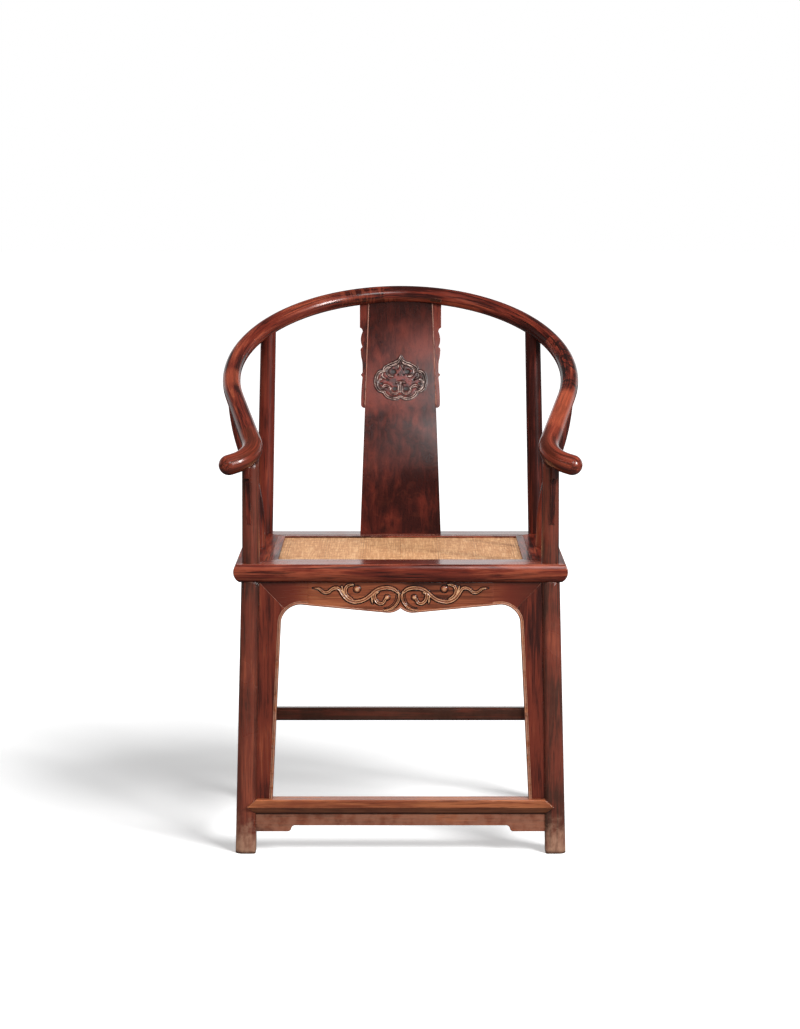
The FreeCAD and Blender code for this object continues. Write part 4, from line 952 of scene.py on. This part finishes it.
def hollows(across, up, height):
    """How deep the cartouche is hollowed out, from 0 to 1, but for the places where a stroke lies."""
    hollow = np.zeros(len(across))
    for centre, level, radius in MEDALLION_HOLLOWS:
        away = np.hypot(across - centre, (up - level) * 1.15)
        hollow = np.maximum(hollow, 1 - ease(away, radius * 0.55, radius * 1.05))
    return hollow * (height < 0.1)


class ArmchairSplat(bpy.types.Operator):
    """Finishes the back splat and its spandrels."""
    bl_idname = "armchair.splat"
    bl_label = "Back splat"

    def execute(self, context):
        dress("back_splat", grime=SPLAT_TOP_SHADE, dull=-0.04, **SPLAT_WOOD)
        for number, side in enumerate(SIDES):
            dress("splat_spandrel_" + side, "Z", 35 + number, 0.62, contrast=0.5)
        self.medallion(context.scene.carving_size)
        self.joint_highlights(context.scene.carving_size)
        return {"FINISHED"}

    def joint_highlights(self, sizes):
        """Thin pale beads where the spandrels meet the splat: a painted highlight along the splat's edge."""
        tree = node_tree_of("back_splat")
        low, high = [corner[2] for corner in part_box("splat_spandrel_left")]
        faces = {level: front_of(tree, level) for level in np.linspace(low + 0.003, high, 24)}
        ends = [low + part * (high - low) for part in (0.05, 0.75)]
        routes = []
        for side in (-1, 1):
            edges = [hit(tree, (side * 0.3, front_of(tree, end) + 0.002, end), (-side, 0, 0)).x
                     for end in ends]
            slant = (edges[1] - edges[0]) / (ends[1] - ends[0])
            routes.append([Vector((edges[0] + (level - ends[0]) * slant, face, level))
                           for level, face in faces.items()])
        piece = tube("splat_joint_highlights", routes, sizes.joint_highlight_radius)
        smooth(piece)
        finish_piece(piece, rosewood("joint_highlights", "Z", 46, 0.8, worn_all=0.55))

    def medallion(self, sizes):
        """The carved cartouche, on a slab that follows the front of the splat."""
        tree = node_tree_of("back_splat")
        half = sizes.medallion_width / 2
        tall = sizes.medallion_high - sizes.medallion_low
        levels = sizes.medallion_low + np.linspace(-0.02, 1.02, 60) * tall
        faces = [front_of(tree, level) for level in levels]
        rim, inner, outline = cartouche_rim()
        lines = mirrored(MEDALLION_STROKES)

        def shape(across, up):
            x, z = (across * 2 - 1) * half, sizes.medallion_low + up * tall
            face = np.interp(z, levels, faces)
            w = x * 1000 / sizes.medallion_scale
            v = MEDALLION_TOP + (z * 1000 - MEDALLION_TOP) / sizes.medallion_scale
            u = -np.abs(w)
            ring, beside_ring = ridges(u, v, rim, 0)
            thin, beside_thin = ridges(u, v, inner, 0)
            inside = within(u, v, outline)
            height, beside = ridges(w, v, lines, 0.35)
            height = height * inside
            near = np.minimum(np.where(inside, beside, np.inf), np.minimum(beside_ring, beside_thin))
            cut = (1 - ease(near, 0.3, 1.4)) * (np.maximum(np.maximum(ring, thin), height) < 0.02)
            cut = np.where(inside, np.maximum(cut, hollows(u, v, height)), cut * 0.7)
            outside = sizes.ground * 0.5 * (1 - ease(beside_ring, 0.2, 3.5)) - BORDER_SINK
            ground = np.where(inside, sizes.ground, outside)
            bulge = np.maximum(np.maximum(ring, thin * 0.96), height * 0.9)
            proud = ground - np.where(inside, sizes.ditch, 0) * cut + (sizes.medallion_rise - ground) * bulge
            front = np.stack([x, face - proud, z], 1)
            back = np.stack([x, face + MEDALLION_DEPTH, z], 1)
            return front, back, 0.5 + 0.11 * inside * (bulge < 0.02) + 0.5 * bulge - 0.45 * cut

        columns, rows = round(sizes.medallion_width / sizes.grid * 1.2), round(tall / sizes.grid * 1.2)
        piece = board("medallion", columns, rows, shape)
        smooth(piece)
        finish_piece(piece, rosewood("medallion", dull=0.05, carved=0.85, shine=0.5, **SPLAT_WOOD))


def rail_route(sizes):
    """The middle line of the right half of the rail, in its own plane."""
    turn = np.linspace(0, sizes.half_turn, 90)
    back = np.stack([np.sin(turn), np.cos(turn) - 1], 1) * sizes.radius
    along = np.array([math.cos(sizes.half_turn), -math.sin(sizes.half_turn)])
    out = np.array([-along[1], along[0]])
    run_end = back[-1] + along * sizes.arm_run
    bend = np.linspace(0, sizes.grip_turn, 30)[1:, None]
    grip = run_end + along * np.sin(bend) * sizes.grip_radius + out * (1 - np.cos(bend)) * sizes.grip_radius
    last = along * math.cos(sizes.grip_turn) + out * math.sin(sizes.grip_turn)
    run = back[-1] + along * np.linspace(0, sizes.arm_run, 30)[1:, None]
    return np.vstack([back, run, grip, grip[-1] + last * sizes.grip_end])


def along_route(spot, route):
    """How far each spot lies across and along a route, and the way out from it."""
    best, across, along, gone = np.full(len(spot), np.inf), np.zeros(len(spot)), np.zeros(len(spot)), 0
    out = np.zeros(spot.shape)
    for start, end in zip(route, route[1:]):
        run = end - start
        stretch = np.linalg.norm(run)
        run = run / stretch
        reach = np.clip((spot - start) @ run, 0, stretch)
        away = spot - start - reach[:, None] * run
        closer = (away ** 2).sum(1) < best
        best = np.where(closer, (away ** 2).sum(1), best)
        across = np.where(closer, away @ (-run[1], run[0]), across)
        along = np.where(closer, gone + reach, along)
        out = np.where(closer[:, None], away, out)
        gone += stretch
    return across, along, out


def follow_rail(piece, sizes):
    """Stores where each point is across, above and along the rail, and rounds the shading about it."""
    mesh = piece.data
    places = places_of(mesh) - (0, sizes.back_reach, sizes.height)
    slope = (math.cos(sizes.slope), math.sin(sizes.slope))
    inward = places[:, 1] * slope[0] + places[:, 2] * slope[1]
    above = places[:, 2] * slope[0] - places[:, 1] * slope[1]
    side, spot = np.sign(places[:, 0]), np.stack([np.abs(places[:, 0]), inward], 1)
    across, along, out = along_route(spot, rail_route(sizes))
    values = np.stack([across, above, along * side], 1)
    store = mesh.attributes.new("grain", "FLOAT_VECTOR", "POINT")
    store.data.foreach_set("vector", values.astype(np.float32).ravel())
    radial = np.stack([out[:, 0] * side, out[:, 1] * slope[0] - above * slope[1],
                       out[:, 1] * slope[1] + above * slope[0]], 1)
    radial /= np.linalg.norm(radial, axis=1)[:, None] + MERGE
    mesh.shade_smooth()
    mesh.normals_split_custom_set([
        radial[corner] if face.normal.dot(Vector(radial[corner])) > ROUND_COS else face.normal
        for face in mesh.polygons for corner in face.vertices])


# Each section's name, cut and tone, and its features: the kind, from and to along the rail, and the strength
RAIL_SECTIONS = (
    ("crown_left", 37, 0.55, (("stripes", -0.12, -0.005, 0.55), ("pale", 0.09, 0.17, 0.5))),
    ("crown_right", 38, 0.39, (("dark", 0.38, 0.45, 0.7),)),
    ("arm_left", 37, 0.43, (("pale", -0.545, -0.49, 0.3), ("pale", -0.82, -0.70, 0.15))),
    ("arm_right", 40, 0.44, (("dark", 0.38, 0.55, 1), ("pale", 0.565, 0.69, 0.5),
                             ("pale", 0.69, 0.82, 0.12))),
)


class ArmchairRail(bpy.types.Operator):
    """Finishes the crest rail and its keys, with the grain following its curve."""
    bl_idname = "armchair.rail"
    bl_label = "Crest rail"

    def execute(self, context):
        sizes = context.scene.rail_size
        for name, cut, tone, features in RAIL_SECTIONS:
            piece = merged_copy(name + "_grained", name)
            follow_rail(piece, sizes)
            wood = rosewood(name, "rail", cut, tone, painted=rail_figure(*features), wear=0.0, edge=0.2,
                            contrast=1.15)
            finish_piece(piece, wood, (name,))
        route = rail_route(sizes)[:CORE_END]
        slope = (math.cos(sizes.slope), math.sin(sizes.slope))
        core = [Vector((side * u, sizes.back_reach + v * slope[0], sizes.height + v * slope[1]))
                for side, half in ((-1, route[:0:-1]), (1, route)) for u, v in half]
        piece = tube("rail_core", [core], sizes.core_radius, 9)
        smooth(piece, 40)
        finish_piece(piece, rosewood("rail_core", "X", 47, 0.1, wear=0.0))
        for number, name in enumerate(("crest_key_crown", "crest_key_left", "crest_key_right")):
            dress(name, "Y", 41 + number, 0.2)
        return {"FINISHED"}


def weave(across, along, pitch):
    """Height, from 0 to 1, of a twill in which each strand goes over two and under two."""
    column, row = np.floor(across / pitch), np.floor(along / pitch)
    warp_up = np.mod(column + row, 4) < 2
    side = np.where(warp_up, across, along) / pitch
    run = np.where(warp_up, along + column * pitch, across + row * pitch) / pitch
    rounded = np.sqrt(np.clip(1 - ((side - np.floor(side)) * 2 - 1) ** 2, 0, 1))
    return rounded * (0.75 + 0.25 * np.cos((run - 0.5) * math.pi))


class ArmchairCane(bpy.types.Operator):
    """Weaves the cane seat."""
    bl_idname = "armchair.cane"
    bl_label = "Woven seat"

    def execute(self, context):
        sizes = context.scene.cane_size
        low, high = [Vector(corner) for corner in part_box("cane_seat")]
        size = high - low
        columns, rows = round(size.x / sizes.grid), round(size.y / sizes.grid)

        def shape(across, up):
            x, y = low.x + across * size.x, low.y + up * size.y
            over = weave(x, y, sizes.pitch)
            top = high.z - sizes.relief * (1 - over)
            return np.stack([x, y, top], 1), np.stack([x, y, np.full(len(x), low.z)], 1), over

        piece = board("cane_weave", columns, rows, shape)
        smooth(piece)
        finish_piece(piece, self.cane(sizes), ("cane_seat",))
        return {"FINISHED"}

    def cane(self, sizes):
        """Golden strands, some darker, with painted shade where they dip between each other."""
        material, tree, shader = new_material("cane")
        place = object_place(tree)
        over = stored(tree, "relief")["Fac"]
        strands = noise(tree, scaled(tree, place, (0.18, 1, 1)), sizes.pitch, 2, 0.6)
        across = noise(tree, scaled(tree, place, (1, 0.18, 1)), sizes.pitch, 2, 0.6)
        specks = noise(tree, scaled(tree, place, (1, 0.04, 1)), sizes.pitch * 0.5, 2, 0.7)
        tint = blend(tree, ramp(tree, strands, 0.42, 0.66), sizes.light, sizes.dark)
        for darker in (ramp(tree, across, 0.50, 0.70, 0, 0.4),
                       ramp(tree, noise(tree, place, 0.05, 3, 0.6), 0.45, 0.75, 0, 0.45),
                       ramp(tree, specks, 0.47, 0.58, 0, 0.6)):
            tint = blend(tree, darker, tint, sizes.dark)
        tint = blend(tree, ramp(tree, specks, 0.44, 0.36, 0, 0.6), tint, sizes.bright)
        # Painted shade where the strands dip between each other
        tint = blend(tree, ramp(tree, over, 0.55, 0.15, 0, 0.9), tint, sizes.gap)
        tree.links.new(tint, shader.inputs["Base Color"])
        shader.inputs["Roughness"].default_value = 0.55
        shader.inputs["Specular IOR Level"].default_value = 0.12
        fibres = noise(tree, scaled(tree, place, (0.1, 1, 1)), 0.0006, 2, 0.5)
        bump = add(tree, "Bump", {"Height": fibres, "Distance": 0.0001, "Strength": 0.6})
        tree.links.new(bump.outputs["Normal"], shader.inputs["Normal"])
        return material


def lamp(name, place, height, size, watts, receiver, state, glossy=True):
    """A soft lamp that lights all but the receiver, or the receiver alone where the state is INCLUDE."""
    data = bpy.data.lights.new(name, "AREA")
    data.shape = "RECTANGLE"
    data.size, data.size_y = size
    data.energy = watts
    made = bpy.data.objects.new(name, data)
    bpy.context.scene.collection.objects.link(made)
    made.location = place
    made.rotation_euler = (Vector((0, 0, height)) - Vector(place)).to_track_quat("-Z", "Y").to_euler()
    made.visible_glossy = glossy
    group = bpy.data.collections.new(name + "_receivers")
    group.objects.link(receiver)
    group.collection_objects[0].light_linking.link_state = state
    made.light_linking.receiver_collection = group


class ArmchairStage(bpy.types.Operator):
    """Sets the camera, the lamps, the floor and the white background."""
    bl_idname = "armchair.stage"
    bl_label = "Stage"

    def execute(self, context):
        look = context.scene.stage_look
        floor = self.floor(context, look)
        self.studio(context, look)
        self.lamps(look, floor)
        self.camera(context, look)
        context.scene.view_settings.view_transform = "Standard"
        return {"FINISHED"}

    def floor(self, context, look):
        """The floor. Its own light, seen by the camera alone, grows outwards until it is white."""
        bpy.ops.mesh.primitive_plane_add(size=60, location=(0, 0, 0))
        floor = context.object
        floor.name = "floor"
        material, tree, shader = new_material("pale_floor")
        seen = add(tree, "LightPath").outputs["Is Camera Ray"]
        bright = add(tree, "MapRange", {"Value": seen, "To Min": look.bounce, "To Max": look.floor})
        tree.links.new(bright.outputs["Result"], shader.inputs["Base Color"])
        shader.inputs["Roughness"].default_value = 0.9
        shader.inputs["Specular IOR Level"].default_value = 0.0
        away = add(tree, "VectorMath", {0: object_place(tree)}, operation="LENGTH").outputs["Value"]
        strength = ramp(tree, away, look.glow_start, look.glow_end, look.near_glow, 1.0)
        glow = add(tree, "Emission", {"Color": (1, 1, 1), "Strength": strength})
        plain = shader.outputs["BSDF"]
        both = add(tree, "AddShader", {0: plain, 1: glow.outputs[0]})
        chosen = add(tree, "MixShader", {0: seen, 1: plain, 2: both.outputs[0]})
        output = [node for node in tree.nodes if node.type == "OUTPUT_MATERIAL"][0]
        tree.links.new(chosen.outputs[0], output.inputs["Surface"])
        floor.data.materials.append(material)
        return floor

    def studio(self, context, look):
        """The surroundings: white for the camera, dim for the wood, dark before the chair in the polish."""
        world = bpy.data.worlds.new("studio")
        context.scene.world = world
        world.use_nodes = True
        tree = world.node_tree
        tree.nodes.clear()
        rays = add(tree, "LightPath").outputs
        way = add(tree, "SeparateXYZ", {0: add(tree, "TexCoord").outputs["Generated"]}).outputs
        backdrop = times(tree, ramp(tree, way["Y"], 0.05, 0.75, look.studio, 1.0),
                         ramp(tree, way["Z"], 0.50, 0.16, look.studio, 1.0))
        mirrored_rays = maths(tree, "MAXIMUM", rays["Is Glossy Ray"], rays["Is Transmission Ray"])
        strength = maths(tree, "MULTIPLY_ADD", maths(tree, "SUBTRACT", backdrop, look.sky), mirrored_rays,
                         look.sky)
        strength = maths(tree, "MAXIMUM", strength, rays["Is Camera Ray"])
        sky = add(tree, "Background", {"Color": (1, 1, 1), "Strength": strength})
        out = add(tree, "OutputWorld")
        tree.links.new(sky.outputs[0], out.inputs["Surface"])

    def lamps(self, look, floor):
        """The lamps: the name, the place, the height of the spot it lights, its size and its power."""
        for name, place, height, size, watts, glossy in (
                ("key", (2.25, -2.0, 1.75), 0.8, (0.45, 0.80), look.key_power, True),
                ("fill", (-2.3, -2.4, 2.1), 0.6, (1.7, 1.7), look.fill_power, False),
                ("top", (0.2, -1.0, 3.4), 0.4, (2.6, 1.6), look.top_power, False),
                ("sheen", (0.8, -3.4, 2.9), 0.7, (1.3, 1.2), look.sheen_power, True),
                ("rear", (-1.2, 3.0, 1.9), 0.6, (1.6, 1.6), look.rear_power, False)):
            lamp(name, place, height, size, watts, floor, "EXCLUDE", glossy)
        lamp("shade", (5.1, -5.7, 6.0), 0.2, (4.0, 4.0), look.shade_power, floor, "INCLUDE")

    def camera(self, context, look):
        """The camera, where the photograph was taken from."""
        data = bpy.data.cameras.new("camera")
        data.sensor_fit = "HORIZONTAL"
        data.sensor_width = 36
        data.lens = look.lens
        data.clip_end = 100
        camera = bpy.data.objects.new("camera", data)
        context.scene.collection.objects.link(camera)
        camera.location = (look.camera_x, look.camera_y, look.camera_z)
        camera.rotation_euler = (look.camera_pitch, 0, 0)
        context.scene.camera = camera


class ArmchairPanel(bpy.types.Panel):
    """The armchair's pieces and their sizes."""
    bl_idname = "VIEW3D_PT_armchair"
    bl_label = "Armchair"
    bl_space_type = "VIEW_3D"
    bl_region_type = "UI"
    bl_category = "Armchair"

    def draw(self, context):
        for piece in PIECES:
            self.layout.operator(piece.bl_idname)
        for name in LOOKS:
            box = self.layout.box()
            group = getattr(context.scene, name)
            for key in group.__annotations__:
                box.prop(group, key)


LOOKS = {"rosewood_look": RosewoodLook, "rail_size": RailSize, "carving_size": CarvingSize,
         "cane_size": CaneSize, "stage_look": StageLook}
PIECES = (ArmchairRail, ArmchairSplat, ArmchairLegs, ArmchairSeat, ArmchairCane, ArmchairAprons,
          ArmchairStretchers, ArmchairStage)


def register():
    for kind in (*LOOKS.values(), *PIECES, ArmchairPanel):
        bpy.utils.register_class(kind)
    for name, kind in LOOKS.items():
        setattr(bpy.types.Scene, name, PointerProperty(type=kind))


def unregister():
    for name in LOOKS:
        delattr(bpy.types.Scene, name)
    for kind in reversed((*LOOKS.values(), *PIECES, ArmchairPanel)):
        bpy.utils.unregister_class(kind)


def main():
    register()
    bpy.ops.armchair.rail()
    bpy.ops.armchair.splat()
    bpy.ops.armchair.legs()
    bpy.ops.armchair.seat()
    bpy.ops.armchair.cane()
    bpy.ops.armchair.aprons()
    bpy.ops.armchair.stretchers()
    bpy.ops.armchair.stage()


if __name__ == "__main__":
    main()
